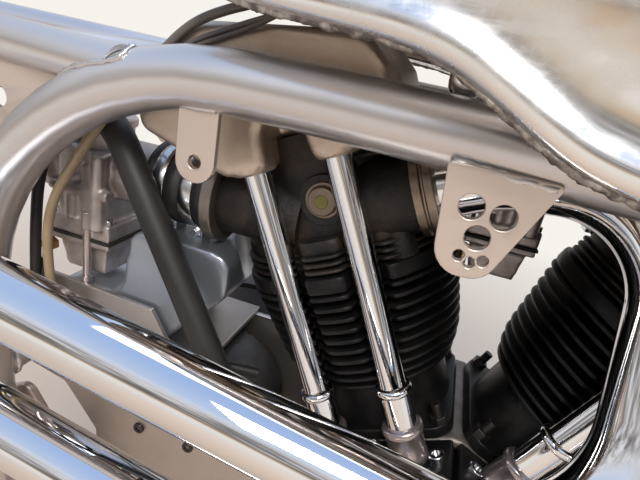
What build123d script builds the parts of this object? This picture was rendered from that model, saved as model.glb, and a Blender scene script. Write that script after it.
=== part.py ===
from build123d import *
from math import asin, atan2, cos, degrees, pi, radians, sin, tan
import os

# Engine, frame and tanks of a sprint motorcycle. X forward, Y left, Z up, millimetres.
# The origin is the middle of the swingarm pivot's axis, and the unit stands on its two bottom rails.

# Engine layout
CRANK_X = 300.0
HALF_VEE = 25.0
DECK_W = 118.0
CASE_DROP = 6.0
CASE_R = DECK_W - CASE_DROP
CASE_HALF = 52.0
TAPPET_HIGH = 24.0

# Barrels, measured along each cylinder from the crankshaft
BARREL_HIGH = 128.0
FIN_COUNT = 10
FIN_PITCH = 7.8
FIN_THICK = 3.0
FIN_TOP_R = 75.0
FIN_TAPER = 1.3
FIN_TUCK = 0.55
CORE_R = 49.0
BARREL_RIM = 10.0
FIN_TOP_GAP = 3.1
BASE_FLANGE = 8.0
BASE_HALF = 52.0

# Heads, from the joint upwards, with the ports and plug measured down from the top
HEAD_R = 60.0
HEAD_HIGH = 84.0
HEAD_THIN_FIN = 2.0
HEAD_THIN_PITCH = 4.5
HEAD_THIN_COUNT = 3
HEAD_BAND_RISE = 13.0
HEAD_BAND = 9.0
HEAD_FIN_RISE = 31.0
HEAD_SHOULDER = 20.0
HEAD_FIN_R = 72.0
PORT_OUT_DROP = 48.0
PORT_V = 42.0
PORT_R = 24.0
PORT_FLANGE = 8.0
PORT_FLANGE_R = 31.0
INLET_STUB = 62.0
NUT_R = 28.0
NUT_LEN = 6.0
PLUG_DROP = 40.0
PLUG_R = 13.0

# Pushrod tubes stand in pairs on the right of each cylinder
TUBE_V = -68.5
TUBE_SPACING = 50.5
TUBE_BOSS = 16.0
TUBE_FOOT = 25.0
TUBE_SLEEVE = 28.0
TUBE_R_TOP = 8.4
TUBE_R_MID = 10.0
TUBE_R_LOW = 12.0
TUBE_RING = 4.0
TUBE_RING_PROUD = 1.2
NOTCH_GAP = 0.6

# Levels along each cylinder that follow from these sizes
TAPPET_TOP_W = DECK_W
TAPPET_BASE_W = TAPPET_TOP_W - TAPPET_HIGH
BARREL_TOP_W = DECK_W + BARREL_HIGH
FIN_FIRST_W = BARREL_TOP_W - BARREL_RIM - FIN_TOP_GAP - (FIN_COUNT - 1) * FIN_PITCH
HEAD_TOP_W = BARREL_TOP_W + HEAD_HIGH
HEAD_BAND_W = BARREL_TOP_W + HEAD_BAND_RISE
HEAD_FIN_W = BARREL_TOP_W + HEAD_FIN_RISE
HEAD_FIN_COUNT = 1 + int((HEAD_TOP_W - HEAD_SHOULDER - HEAD_FIN_W) / FIN_PITCH)
PORT_OUT_W = HEAD_TOP_W - PORT_OUT_DROP
PLUG_W = HEAD_TOP_W - PLUG_DROP
TUBE_TOP_W = HEAD_TOP_W - TUBE_BOSS
TUBE_RING_W = TAPPET_TOP_W + TUBE_FOOT
TUBE_COLLAR_W = TUBE_RING_W + TUBE_SLEEVE

# Frame tubes
RAIL_R = 15.9
RAIL_Z = 322.0
RAIL_Y_REAR = 104.0
RAIL_Y_FRONT = 122.0
UPRIGHT_X = CRANK_X - 327.0
FLOOR_RAIL_Z = -151.0
REAR_BEND_R = 167.0
LOWER_BEND_R = 72.0
FRONT_BEND_R = 110.0
DOWN_FOOT_X = CRANK_X + 185.0
CROSS_R = 12.7
SUBFRAME_R = 12.7
SUBFRAME_END_X = -250.0
SPIGOT_R = 11.1
SPIGOT_LEN = 40.0
HEAD_RAKE = 26.0
HEAD_LOW = (CRANK_X + 380.0, 0.0, 322.0)
HEAD_LEN = 174.0
HEAD_TUBE_R = 28.5
HEAD_BORE_R = 23.5
PLATE_T = 4.2
PIVOT_PLATE_T = 6.0
PIVOT_PLATE_Y = 80.0
PIVOT_BORE_R = 10.0
PIVOT_BOSS_R = 18.0

# Exhaust pipes
PIPE_R = 19.05
PIPE_WALL = 1.6
PIPE_Y = -152.0
PIPE_RISE = 8.6
FRONT_RISE = 1.15
MOUTH_DEPTH = 45.0

# Carburettor intake
INTAKE_R = 17.0
BOWL_DEEP = 24.0
BOWL_TAPER = 11.0

# Gearbox and primary drive
BOX_X = CRANK_X - 205.0
BOX_Z = 35.0
BOX_HALF = 48.0
BELT_PITCH = 8.0
PULLEY_TEETH = 34
CLUTCH_TEETH = 60
BELT_Y = 93.0
BELT_W = 30.0
BELT_T = 4.5
RUN_GAP = 0.3
SPROCKET_TEETH = 18
CHAIN_PITCH = 15.875
SPROCKET_Y = 70.0
SPROCKET_T = 7.0
SHAFT_R = 14.0
ENGINE_PLATE_Y = 60.0
PLATE_TOP_Z = 104.0
ENGINE_PLATE_T = 6.0

# Tanks
TRAY_FLOOR = 5.0
TRAY_LIP_Z = 165.0
OIL_TANK_TOP = 216.0
TANK_SHELF_HALF = 144.0
TANK_BELLY_Z = 350.0
TUNNEL_HALF = 90.0
FILLER_X = CRANK_X + 60.0
FILLER_R = 34.0
FILLER_Z = 534.0
HINGE_Y = 44.0
HINGE_R = 2.5

# Breather hose from the timing chest to below the seat tubes
HOSE_R = 9.2
HOSE_START = (CRANK_X - 108, -84, 74)
HOSE_TURN = (CRANK_X - 132, -92, 108)

os.makedirs("parts", exist_ok=True)


def keep(name, shape):
    solids = shape.solids()
    export_step(solids[0] if len(solids) == 1 else Compound(solids), f"parts/{name}.step")


def rod(start, direction, radius, length):
    return Solid.make_cylinder(radius, length, Plane(origin=start, z_dir=direction))


def rod_between(start, end, radius):
    run = Vector(*end) - Vector(*start)
    return rod(start, run, radius, run.length)


def block(x, y, z):
    low = (min(x), min(y), min(z))
    return Solid.make_box(
        abs(x[1] - x[0]), abs(y[1] - y[0]), abs(z[1] - z[0]), Plane(origin=low)
    )


def side_plate(points, y, radius):
    face = make_face(FilletPolyline(*[(px, 0, pz) for px, pz in points], radius=radius, close=True))
    thick = extrude(face, amount=abs(y[1] - y[0]), dir=(0, 1, 0))
    return Pos(0, min(y), 0) * thick


def swept(points, radii, radius, wall=0.0):
    path = FilletPolyline(*points, radius=list(radii))
    section = Plane(origin=path @ 0, z_dir=path % 0) * Circle(radius)
    if wall:
        section -= Plane(origin=path @ 0, z_dir=path % 0) * Circle(radius - wall)
    return sweep(section, path=path)


def left_of(shape):
    return mirror(shape, about=Plane.XZ)


def both_sides(shape):
    return Compound([shape, left_of(shape)])


def largest(shape):
    return max(shape.solids(), key=lambda solid: solid.volume)


def cylinder_plane(lean):
    angle = radians(lean)
    return Plane(
        origin=(CRANK_X, 0, 0),
        x_dir=(cos(angle), 0, -sin(angle)),
        z_dir=(sin(angle), 0, cos(angle)),
    )


def disc(radius, low, thick, at=(0.0, 0.0)):
    return Solid.make_cylinder(radius, thick, Plane(origin=(at[0], at[1], low)))


TUBE_SPOTS = [(side * TUBE_SPACING / 2, TUBE_V) for side in (-1, 1)]
VEE = {"rear": -HALF_VEE, "front": HALF_VEE}


def notched(shape, radius=TUBE_R_LOW + NOTCH_GAP, low=DECK_W):
    for spot in TUBE_SPOTS:
        shape -= disc(radius, low, HEAD_TOP_W - low, spot)
    return shape


# Barrel: an iron cylinder whose fins grow upwards and are notched round the pushrod tubes
def barrel():
    body = disc(CORE_R, DECK_W, BARREL_TOP_W - DECK_W)
    for step in range(FIN_COUNT):
        below_top = FIN_COUNT - 1 - step
        tuck = FIN_TUCK * max(0, 3 - step) ** 2
        radius = FIN_TOP_R - FIN_TAPER * below_top - tuck
        body += disc(radius, FIN_FIRST_W + step * FIN_PITCH - FIN_THICK / 2, FIN_THICK)
    body += disc(FIN_TOP_R, BARREL_TOP_W - BARREL_RIM, BARREL_RIM)
    body = notched(body)
    flange = extrude(RectangleRounded(2 * BASE_HALF, 2 * BASE_HALF, 14), BASE_FLANGE)
    return body + Pos(0, 0, DECK_W) * flange


# Head: joint fins, a smooth band, then deeper fins up to the rocker box
def head():
    body = disc(HEAD_R, BARREL_TOP_W, HEAD_TOP_W - BARREL_TOP_W)
    for step in range(HEAD_THIN_COUNT):
        body += disc(HEAD_FIN_R, BARREL_TOP_W + 2.0 + step * HEAD_THIN_PITCH, HEAD_THIN_FIN)
    body += disc(HEAD_FIN_R - 2, HEAD_BAND_W, HEAD_BAND)
    for step in range(HEAD_FIN_COUNT):
        body += disc(HEAD_FIN_R, HEAD_FIN_W + step * FIN_PITCH, FIN_THICK)
    body = notched(body)
    recess = rod((0, -HEAD_R + 4, PLUG_W), (0, -1, 0), PLUG_R + 7, 30)
    body -= recess
    return body + rod((0, -HEAD_R + 14, PLUG_W), (0, -1, 0), PLUG_R, 12)


# Rocker box: a flat-topped casting with two bosses that hold the pushrod tubes
def rocker_box():
    crown = [(-85, 26), (-78, 56), (-34, 72), (57, 40), (64, 22)]
    shell = crown + [(64, 0), (-62, 0)]
    skirt = crown + [(60, 6), (41, -TUBE_BOSS), (11, -TUBE_BOSS), (8, 8), (-8, 8), (-11, -TUBE_BOSS)]
    skirt += [(-42, -TUBE_BOSS)]
    inner = side_plate(shell, (-53, 50), 6)
    outer = side_plate(skirt, (-83, -53), 5)
    return Pos(0, 0, HEAD_TOP_W) * (inner + outer)


def pushrod_tube(spot):
    tube = disc(TUBE_R_LOW, TAPPET_TOP_W, TUBE_RING_W - TAPPET_TOP_W, spot)
    tube += disc(TUBE_R_MID, TUBE_RING_W, TUBE_COLLAR_W - TUBE_RING_W, spot)
    tube += disc(TUBE_R_TOP, TUBE_COLLAR_W, TUBE_TOP_W - TUBE_COLLAR_W, spot)
    tube += disc(TUBE_R_LOW + TUBE_RING_PROUD, TUBE_RING_W - TUBE_RING, TUBE_RING, spot)
    tube += disc(TUBE_R_MID + TUBE_RING_PROUD, TUBE_COLLAR_W - TUBE_RING, TUBE_RING, spot)
    return tube


# Ports leave each head on the world's axes: inlets level to the rear, exhausts across the cylinder
INLET_Y = {"rear": -PORT_V, "front": PORT_V}
INLET_FACE = {"rear": (CRANK_X - 190.0, 248.0), "front": (CRANK_X + 88.0, 295.0)}
EXHAUST_FACE_U = 66.0

for name, lean in VEE.items():
    spot = cylinder_plane(lean).location
    keep(f"barrel_{name}", spot * barrel())
    face_x, face_z = INLET_FACE[name]
    inlet_face = (face_x, INLET_Y[name], face_z)
    casting = head()
    casting -= rod((EXHAUST_FACE_U - NUT_LEN, -PORT_V, PORT_OUT_W), (1, 0, 0), NUT_R + 2, 40)
    casting += rod((30, -PORT_V, PORT_OUT_W), (1, 0, 0), PORT_R, EXHAUST_FACE_U - 30)
    casting = spot * casting - rod(inlet_face, (-1, 0, 0), PORT_FLANGE_R + 2, 60)
    casting += rod((face_x + INLET_STUB, INLET_Y[name], face_z), (-1, 0, 0), PORT_R, INLET_STUB)
    casting += rod((face_x + PORT_FLANGE, INLET_Y[name], face_z), (-1, 0, 0), PORT_FLANGE_R, PORT_FLANGE)
    for tube in TUBE_SPOTS:
        gap = disc(TUBE_R_TOP + NOTCH_GAP / 2, DECK_W, TUBE_TOP_W - DECK_W, tube)
        casting -= spot * gap
    box = spot * rocker_box()
    casting -= box
    keep(f"head_{name}", casting)
    keep(f"rocker_box_{name}", box)
    keep(f"pushrod_tubes_{name}", spot * Compound([pushrod_tube(s) for s in TUBE_SPOTS]))
    tappets = block((-BASE_HALF, BASE_HALF), (-88, -CASE_HALF), (TAPPET_BASE_W, TAPPET_TOP_W))
    own_side = (CRANK_X - 200, CRANK_X) if name == "rear" else (CRANK_X, CRANK_X + 200)
    tappets = spot * tappets & block(own_side, (-100, 0), (0, 200))
    keep(f"tappet_block_{name}", tappets)

# Crankcase: the flywheel chamber with a mouth for each barrel, and a timing chest on its right
crankcase = rod((CRANK_X, -CASE_HALF, 0), (0, 1, 0), CASE_R, 2 * CASE_HALF)
for lean in VEE.values():
    mouth = block((-BASE_HALF, BASE_HALF), (-CASE_HALF, CASE_HALF), (0, DECK_W))
    crankcase += cylinder_plane(lean).location * mouth
for lug_x, lug_z in ((-106, -62), (-112, 30), (104, -66), (118, 12)):
    crankcase += rod((CRANK_X + lug_x, -ENGINE_PLATE_Y, lug_z), (0, 1, 0), 15, 2 * ENGINE_PLATE_Y)
keep("crankcase", crankcase)

CHEST_BACK = -CASE_HALF
CHEST_FRONT = -90.0
chest_outline = [(-92, 40), (-88, 62), (0, 104), (88, 62), (92, 40), (62, -78), (-62, -78)]
chest = side_plate([(CRANK_X + px, pz) for px, pz in chest_outline], (CHEST_FRONT, CHEST_BACK), 10)
for lean in VEE.values():
    chest -= cylinder_plane(lean).location * block(
        (-80, 80), (-100, -CASE_HALF + 1), (TAPPET_BASE_W, DECK_W + 20)
    )
chest -= crankcase
hose_out = (Vector(*HOSE_TURN) - Vector(*HOSE_START)).normalized()
hose_union = rod_between(Vector(*HOSE_START) - hose_out * 34, HOSE_START, HOSE_R)
keep("timing_cover", chest + hose_union)

# Frame loops: rail, rear bend, upright, floor rail and down tube in one bent tube a side
axis_dir = Vector(-sin(radians(HEAD_RAKE)), 0, cos(radians(HEAD_RAKE)))
head_tube = rod(HEAD_LOW, axis_dir, HEAD_TUBE_R, HEAD_LEN)
head_bore = rod(Vector(*HEAD_LOW) - axis_dir, axis_dir, HEAD_BORE_R, HEAD_LEN + 2)
HEAD_SIDE_Y = 10.0
rail_top = Vector(*HEAD_LOW) + axis_dir * 128
rail_foot = Vector(*HEAD_LOW) + axis_dir * 34
loop_points = [
    (rail_top.X, -HEAD_SIDE_Y, rail_top.Z),
    (CRANK_X + 150, -RAIL_Y_FRONT, RAIL_Z - 4),
    (CRANK_X - 118, -RAIL_Y_REAR, RAIL_Z + 2),
    (UPRIGHT_X, -RAIL_Y_REAR, RAIL_Z + 2),
    (UPRIGHT_X, -RAIL_Y_REAR, FLOOR_RAIL_Z),
    (DOWN_FOOT_X, -RAIL_Y_REAR, FLOOR_RAIL_Z),
    (rail_foot.X, -HEAD_SIDE_Y, rail_foot.Z),
]
loop_radii = [90.0, 400.0, REAR_BEND_R, LOWER_BEND_R, FRONT_BEND_R]
coping = rod(Vector(*HEAD_LOW) - axis_dir * 30, axis_dir, HEAD_TUBE_R, HEAD_LEN + 60)
loop_r = largest(swept(loop_points, loop_radii, RAIL_R) - coping)
loop_l = left_of(loop_r)
keep("steering_head", head_tube - head_bore)

CROSS_SPOTS = ((UPRIGHT_X + 66, FLOOR_RAIL_Z), (DOWN_FOOT_X - 60, FLOOR_RAIL_Z), (UPRIGHT_X, 96.0))
cross_bars = []
for cross_x, cross_z in CROSS_SPOTS:
    bar = rod((cross_x, -RAIL_Y_REAR, cross_z), (0, 1, 0), CROSS_R, 2 * RAIL_Y_REAR)
    cross_bars.append(largest(bar - loop_r - loop_l))

# Pivot plates: inside the uprights, bored for the swingarm spindle
pivot_outline = [(UPRIGHT_X - 8, 62), (UPRIGHT_X + 14, 74), (28, 16), (28, -16)]
pivot_outline += [(UPRIGHT_X + 20, -84), (UPRIGHT_X - 8, -72)]
pivot_plate = side_plate(pivot_outline, (-PIVOT_PLATE_Y - PIVOT_PLATE_T, -PIVOT_PLATE_Y), 9)
pivot_plate += rod((0, -PIVOT_PLATE_Y - PIVOT_PLATE_T, 0), (0, 1, 0), PIVOT_BOSS_R, PIVOT_PLATE_T + 8)
web = block((UPRIGHT_X - 8, UPRIGHT_X + 8), (-RAIL_Y_REAR, -PIVOT_PLATE_Y - PIVOT_PLATE_T), (-60, 50))
pivot_plate += web
pivot_plate -= loop_r
pivot_plate -= rod((0, -150, 0), (0, 1, 0), PIVOT_BORE_R, 150)
keep("pivot_plates", both_sides(largest(pivot_plate)))
keep("frame_loop_right", loop_r)
keep("frame_loop_left", loop_l)

# Seat subframe tubes, each with a spigot for the seat loop, and the gussets below them
joint = (CRANK_X - 222, -RAIL_Y_REAR, RAIL_Z - 3)
rear_end = (SUBFRAME_END_X, -46.0, RAIL_Z + 8)
shoulder = Vector(*rear_end) - (Vector(*rear_end) - Vector(*joint)).normalized() * SPIGOT_LEN
subframe = rod_between(joint, shoulder, SUBFRAME_R) - loop_r
subframe = largest(subframe)
keep("subframe_tubes", both_sides(subframe + rod_between(shoulder, rear_end, SPIGOT_R)))
seat_cross_x = CRANK_X - 300
along = (seat_cross_x - joint[0]) / (rear_end[0] - joint[0])
seat_cross_z = joint[2] + along * (rear_end[2] - joint[2])
seat_cross = rod((seat_cross_x, -RAIL_Y_REAR, seat_cross_z), (0, 1, 0), CROSS_R - 2, 2 * RAIL_Y_REAR)
seat_cross = seat_cross - subframe - left_of(subframe)
keep("cross_tubes", Compound(cross_bars + [largest(seat_cross)]))
gusset_outline = [(CRANK_X - 262, 312), (CRANK_X - 345, 312), (CRANK_X - 345, 262), (CRANK_X - 322, 238)]
gusset = side_plate(gusset_outline, (-92, -92 + PLATE_T), 4) - loop_r - subframe
gusset -= rod((CRANK_X - 318, -100, 288), (0, 1, 0), 6.5, 40)
keep("gussets", both_sides(largest(gusset)))

# Tabs and drilled plates under the rails
tab_x = CRANK_X - 173.0
tab = block((tab_x - 11, tab_x + 11), (-RAIL_Y_REAR - 7, -RAIL_Y_REAR - 7 + PLATE_T), (283, 314))
tab += rod((tab_x, -RAIL_Y_REAR - 7, 283), (0, 1, 0), 11, PLATE_T)
tab -= rod((tab_x, -RAIL_Y_REAR - 14, 283), (0, 1, 0), 3.6, 30)
keep("rail_tabs", both_sides(largest(tab - loop_r)))

DRILLED_HOLES = (
    # x from the crankshaft, height, radius
    (-38.2, 297.6, 5.3),
    (-25.0, 296.1, 5.3),
    (-32.6, 285.4, 5.3),
    (-37.7, 276.2, 2.45),
    (-32.8, 274.2, 2.45),
    (-27.8, 276.2, 2.45),
)
plate_outline = [(-52, 314), (-48, 279), (-38, 266.5), (-25.5, 268.5), (-6, 314)]
plate_y = -RAIL_Y_FRONT
drilled = side_plate([(CRANK_X + px, pz) for px, pz in plate_outline], (plate_y - PLATE_T, plate_y), 6)
for hole_x, hole_z, hole_r in DRILLED_HOLES:
    drilled -= rod((CRANK_X + hole_x, plate_y - 20, hole_z), (0, 1, 0), hole_r, 40)
keep("drilled_plates", both_sides(largest(drilled - loop_r)))

# Exhaust pipes, open tubes clamped at the ports by ring nuts
rear_port = (cylinder_plane(VEE["rear"]) * Pos(EXHAUST_FACE_U, -PORT_V, PORT_OUT_W)).position
front_port = (cylinder_plane(VEE["front"]) * Pos(EXHAUST_FACE_U, -PORT_V, PORT_OUT_W)).position
rise = tan(radians(PIPE_RISE))
PIPE_TIPS = {
    "rear": (CRANK_X - 470, PIPE_Y, 150 + rise * 528),
    "front": (CRANK_X - 440, PIPE_Y, 28 + rise * FRONT_RISE * 656),
}
rear_pipe = swept(
    [
        tuple(rear_port),
        tuple(rear_port + cylinder_plane(VEE["rear"]).x_dir * 42),
        (CRANK_X + 58, -76, 316),
        (CRANK_X + 58, PIPE_Y, 150),
        PIPE_TIPS["rear"],
    ],
    [60, 58, 66],
    PIPE_R,
)
front_pipe = swept(
    [
        tuple(front_port),
        tuple(front_port + cylinder_plane(VEE["front"]).x_dir * 50),
        (CRANK_X + 216, PIPE_Y, 28),
        PIPE_TIPS["front"],
    ],
    [52, 64],
    PIPE_R,
)
for name, pipe, slope in (("rear", rear_pipe, rise), ("front", front_pipe, rise * FRONT_RISE)):
    tip = Vector(*PIPE_TIPS[name])
    pipe -= rod(tip + Vector(1, 0, -slope).normalized() * MOUTH_DEPTH, (-1, 0, slope), PIPE_R - PIPE_WALL, 80)
    keep(f"exhaust_pipe_{name}", pipe)
nuts = []
for name, port in (("rear", rear_port), ("front", front_port)):
    out = cylinder_plane(VEE[name]).x_dir
    ring = rod(port - out * NUT_LEN, out, NUT_R, 2 * NUT_LEN)
    ring -= rod(port - out * NUT_LEN, out, PORT_R + 0.2, NUT_LEN)
    ring -= rod(port - out, out, PIPE_R + 0.2, 2 * NUT_LEN)
    nuts.append(ring.solid())
keep("exhaust_nuts", Compound(nuts))

# Carburettors with their rubber sleeves
def carburettor(face_x, y, z):
    body = rod((face_x - 24, y, z), (-1, 0, 0), 21, 96)
    body += block((face_x - 110, face_x - 72), (y - 25, y + 23), (z - 32, z + 14))
    bowl = Plane(origin=(face_x - 92, y - 1, z - 52), z_dir=(0, 0, -1)) * RectangleRounded(44, 46, 8)
    body += extrude(bowl, amount=BOWL_DEEP, taper=BOWL_TAPER)
    rim = Plane(origin=(face_x - 92, y - 1, z - 52)) * RectangleRounded(50, 52, 9)
    body += extrude(rim, amount=20)
    body += rod((face_x - 91, y, z), (0, 0, 1), 19, 34)
    body += rod((face_x - 118, y, z), (-1, 0, 0), 26, 12)
    body -= rod((face_x - 96, y, z), (-1, 0, 0), INTAKE_R, 60)
    return body


for name in VEE:
    face_x, face_z = INLET_FACE[name]
    keep(f"carburettor_{name}", carburettor(face_x, INLET_Y[name], face_z))
    sleeve = rod((face_x, INLET_Y[name], face_z), (-1, 0, 0), 25, 44)
    sleeve -= rod((face_x, INLET_Y[name], face_z), (-1, 0, 0), 21, 44)
    keep(f"inlet_sleeve_{name}", sleeve)

# Gearbox behind the crankcase, with the sprocket and clutch on its left
gearbox = rod((BOX_X, -BOX_HALF, BOX_Z), (0, 1, 0), 58, 2 * BOX_HALF)
gearbox += rod((BOX_X + 6, -BOX_HALF, BOX_Z - 66), (0, 1, 0), 44, 2 * BOX_HALF)
gearbox += block((BOX_X - 52, BOX_X + 52), (-BOX_HALF, BOX_HALF), (BOX_Z - 66, BOX_Z))
gearbox += rod((BOX_X, -BOX_HALF - 14, BOX_Z - 20), (0, 1, 0), 50, 14)
for lug_x, lug_z in ((-44, 44), (46, -76), (-40, -84)):
    lug = rod((BOX_X + lug_x, -ENGINE_PLATE_Y, BOX_Z + lug_z), (0, 1, 0), 12, 2 * ENGINE_PLATE_Y)
    gearbox += lug
keep("gearbox", gearbox)
sprocket_r = CHAIN_PITCH / (2 * sin(pi / SPROCKET_TEETH))
sprocket = rod((BOX_X, SPROCKET_Y, BOX_Z), (0, 1, 0), sprocket_r + 4, SPROCKET_T)
for step in range(SPROCKET_TEETH):
    turn = 2 * pi * step / SPROCKET_TEETH
    seat = (BOX_X + sprocket_r * cos(turn), SPROCKET_Y - 1, BOX_Z + sprocket_r * sin(turn))
    sprocket -= rod(seat, (0, 1, 0), 5.1, SPROCKET_T + 2)
sprocket += rod((BOX_X, BOX_HALF + RUN_GAP, BOX_Z), (0, 1, 0), 22, SPROCKET_Y - BOX_HALF)
sprocket -= rod((BOX_X, 0, BOX_Z), (0, 1, 0), SHAFT_R + RUN_GAP, 140)
keep("output_sprocket", sprocket)
clutch_r = CLUTCH_TEETH * BELT_PITCH / (2 * pi)
pulley_r = PULLEY_TEETH * BELT_PITCH / (2 * pi)
clutch = rod((BOX_X, BELT_Y, BOX_Z), (0, 1, 0), clutch_r, BELT_W)
clutch += rod((BOX_X, BELT_Y, BOX_Z), (0, 1, 0), clutch_r - 16, BELT_W + 6)
clutch += rod((BOX_X, BOX_HALF + RUN_GAP, BOX_Z), (0, 1, 0), SHAFT_R, BELT_Y - BOX_HALF)
keep("clutch_drum", clutch)
pulley = rod((CRANK_X, BELT_Y, 0), (0, 1, 0), pulley_r, BELT_W)
pulley += rod((CRANK_X, CASE_HALF + RUN_GAP, 0), (0, 1, 0), SHAFT_R, BELT_Y + BELT_W + 12 - CASE_HALF)
keep("crank_pulley", pulley)


def belt_outline(extra):
    run = Vector(BOX_X - CRANK_X, 0, BOX_Z)
    lean = degrees(atan2(run.Z, run.X))
    open_angle = degrees(asin((clutch_r - pulley_r) / run.length))
    rim_a = pulley_r + extra
    rim_b = clutch_r + extra
    points = []
    for side in (1, -1):
        turn = radians(lean + side * (90 + open_angle))
        normal = (cos(turn), sin(turn))
        points.append((CRANK_X + rim_a * normal[0], rim_a * normal[1]))
        points.append((BOX_X + rim_b * normal[0], BOX_Z + rim_b * normal[1]))
    corners = [(points[at][0], 0, points[at][1]) for at in (0, 1, 3, 2)]
    strip = make_face(Polyline(*corners, close=True))
    solid = Pos(0, BELT_Y + 1, 0) * extrude(strip, amount=BELT_W - 2, dir=(0, 1, 0))
    solid += rod((CRANK_X, BELT_Y + 1, 0), (0, 1, 0), rim_a, BELT_W - 2)
    solid += rod((BOX_X, BELT_Y + 1, BOX_Z), (0, 1, 0), rim_b, BELT_W - 2)
    return solid


keep("primary_belt", belt_outline(RUN_GAP + BELT_T) - belt_outline(RUN_GAP))

# Engine plates carry the crankcase and gearbox in the frame
plate_r = ENGINE_PLATE_Y + ENGINE_PLATE_T
rear_outline = [(-92, -78), (-96, 44), (-150, PLATE_TOP_Z), (-345, PLATE_TOP_Z), (-345, 80), (-296, 70)]
rear_outline += [(-266, 34), (-264, -100), (-256, -164), (-236, -164)]
rear_plate = side_plate([(CRANK_X + px, pz) for px, pz in rear_outline], (-plate_r, -ENGINE_PLATE_Y), 8)
front_outline = [(92, -84), (100, 30), (130, 30)]
front_outline += [(DOWN_FOOT_X - CRANK_X - 48, -138), (DOWN_FOOT_X - CRANK_X - 72, -164)]
front_plate = side_plate([(CRANK_X + px, pz) for px, pz in front_outline], (-plate_r, -ENGINE_PLATE_Y), 8)
for bar in cross_bars:
    rear_plate -= bar
    front_plate -= bar
rear_plate -= gearbox
for name, plate in (("rear", rear_plate), ("front", front_plate)):
    plate = largest(plate)
    keep(f"engine_plate_{name}_right", plate)
    other = left_of(plate)
    if name == "rear":
        other -= rod((BOX_X, 40, BOX_Z), (0, 1, 0), 28, 60)
    keep(f"engine_plate_{name}_left", other)

# Oil tank behind the rear barrel, hollowed to clear its fins, with a tray below
tank_z = PLATE_TOP_Z + TRAY_FLOOR
tank_outline = [(-300, tank_z), (-300, 165), (-246, 165), (-240, OIL_TANK_TOP), (-167, OIL_TANK_TOP)]
tank_outline += [(-167, 186), (-238, tank_z)]
oil_tank = side_plate([(CRANK_X + px, pz) for px, pz in tank_outline], (-68, 60), 12)
oil_tank -= cylinder_plane(VEE["rear"]).location * disc(FIN_TOP_R + 5, 100, 260)
keep("oil_tank", largest(oil_tank))
tray = block((CRANK_X - 304, CRANK_X - 190), (-74, 68), (PLATE_TOP_Z, tank_z))
lip_outline = [(-304, PLATE_TOP_Z), (-304, TRAY_LIP_Z + 4), (-217, TRAY_LIP_Z), (-190, 124), (-190, PLATE_TOP_Z)]
tray += side_plate([(CRANK_X + px, pz) for px, pz in lip_outline], (-74, -70), 2)
keep("oil_tank_tray", tray)

# Fuel tank: aluminium, swelling from the seat forwards and drawn in to the steering head
TANK_SECTIONS = (
    # x from the crankshaft, lower edge, half-width there, greatest half-width, top
    (-195, 374, 110, 117, 430),
    (-178, 364, 124, 131, 450),
    (-150, 357, 135, 141, 474),
    (-110, 353.5, 146, 152, 496),
    (-62, 350, 158, 163, 512),
    (-20, 325, 161, 165.5, 521.5),
    (40, 314, 162, 166, 524),
    (120, 317, 159, 164, 522),
    (190, 327, 144, 151, 511),
    (235, 347, 112, 122, 481),
    (262, 376, 84, 92, 442),
)
TANK_LIP = 3.0
TANK_LIP_HIGH = 7.0


def tank_section(x, low, foot, wide, top):
    rise = top - low
    half = [(foot, low), (foot + TANK_LIP, low + TANK_LIP_HIGH), (wide, low + 0.35 * rise)]
    half += [(0.9 * wide, low + 0.75 * rise), (0.55 * wide, top - 9), (0, top)]
    around = half + [(-y, z) for y, z in reversed(half[:-1])]
    spots = [(CRANK_X + x, y, z) for y, z in around]
    return make_face([Spline(*spots), Line(spots[-1], spots[0])])


tank = loft([tank_section(*row) for row in TANK_SECTIONS])
tank -= block((CRANK_X - 60, CRANK_X + 400), (-TANK_SHELF_HALF, TANK_SHELF_HALF), (300, TANK_BELLY_Z))
tank -= block((CRANK_X - 10, CRANK_X + 400), (-TUNNEL_HALF, TUNNEL_HALF), (300, 400))
tank -= block((CRANK_X - 210, CRANK_X - 40), (-TUNNEL_HALF, 72), (300, 374))
lane = swept(loop_points[:3], [90.0], RAIL_R + 6)
tank = largest(tank - lane - left_of(lane))
neck = rod((FILLER_X, 0, 500), (0, 0, 1), FILLER_R, FILLER_Z - 500)
for lug_x in (-14, 9):
    neck += block((FILLER_X + lug_x, FILLER_X + lug_x + 5), (FILLER_R - 6, HINGE_Y + 6), (512, FILLER_Z + 8))
neck += rod((FILLER_X - 12, HINGE_Y, FILLER_Z + 4), (1, 0, 0), HINGE_R, 24)
keep("fuel_tank", tank + neck)
cap = rod((FILLER_X, 0, FILLER_Z + RUN_GAP), (0, 0, 1), FILLER_R + 3, 9)
cap += block((FILLER_X - 8, FILLER_X + 8), (20, HINGE_Y), (FILLER_Z + RUN_GAP, FILLER_Z + 9))
cap += rod((FILLER_X - 8, HINGE_Y, FILLER_Z + 4), (1, 0, 0), 6, 16)
cap -= rod((FILLER_X - 20, HINGE_Y, FILLER_Z + 4), (1, 0, 0), HINGE_R + RUN_GAP, 40)
for lug_x in (-14.5, 8.5):
    cap -= block((FILLER_X + lug_x, FILLER_X + lug_x + 6), (FILLER_R - 7, HINGE_Y + 7), (512, FILLER_Z + 12))
keep("filler_cap", cap)

# Rubber pads between the rails and the tank
pads = []
for pad_x, pad_y in ((CRANK_X + 15, 114), (CRANK_X + 110, 120)):
    for pad_side in (-1, 1):
        pad = rod((pad_x, pad_side * pad_y, RAIL_Z), (0, 0, 1), 11, 40)
        pad = (pad - loop_r - loop_l - tank).solids()
        pads.append(min(pad, key=lambda solid: abs(solid.center().Z - RAIL_Z - 22)))
keep("tank_pads", Compound(pads))

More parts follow.
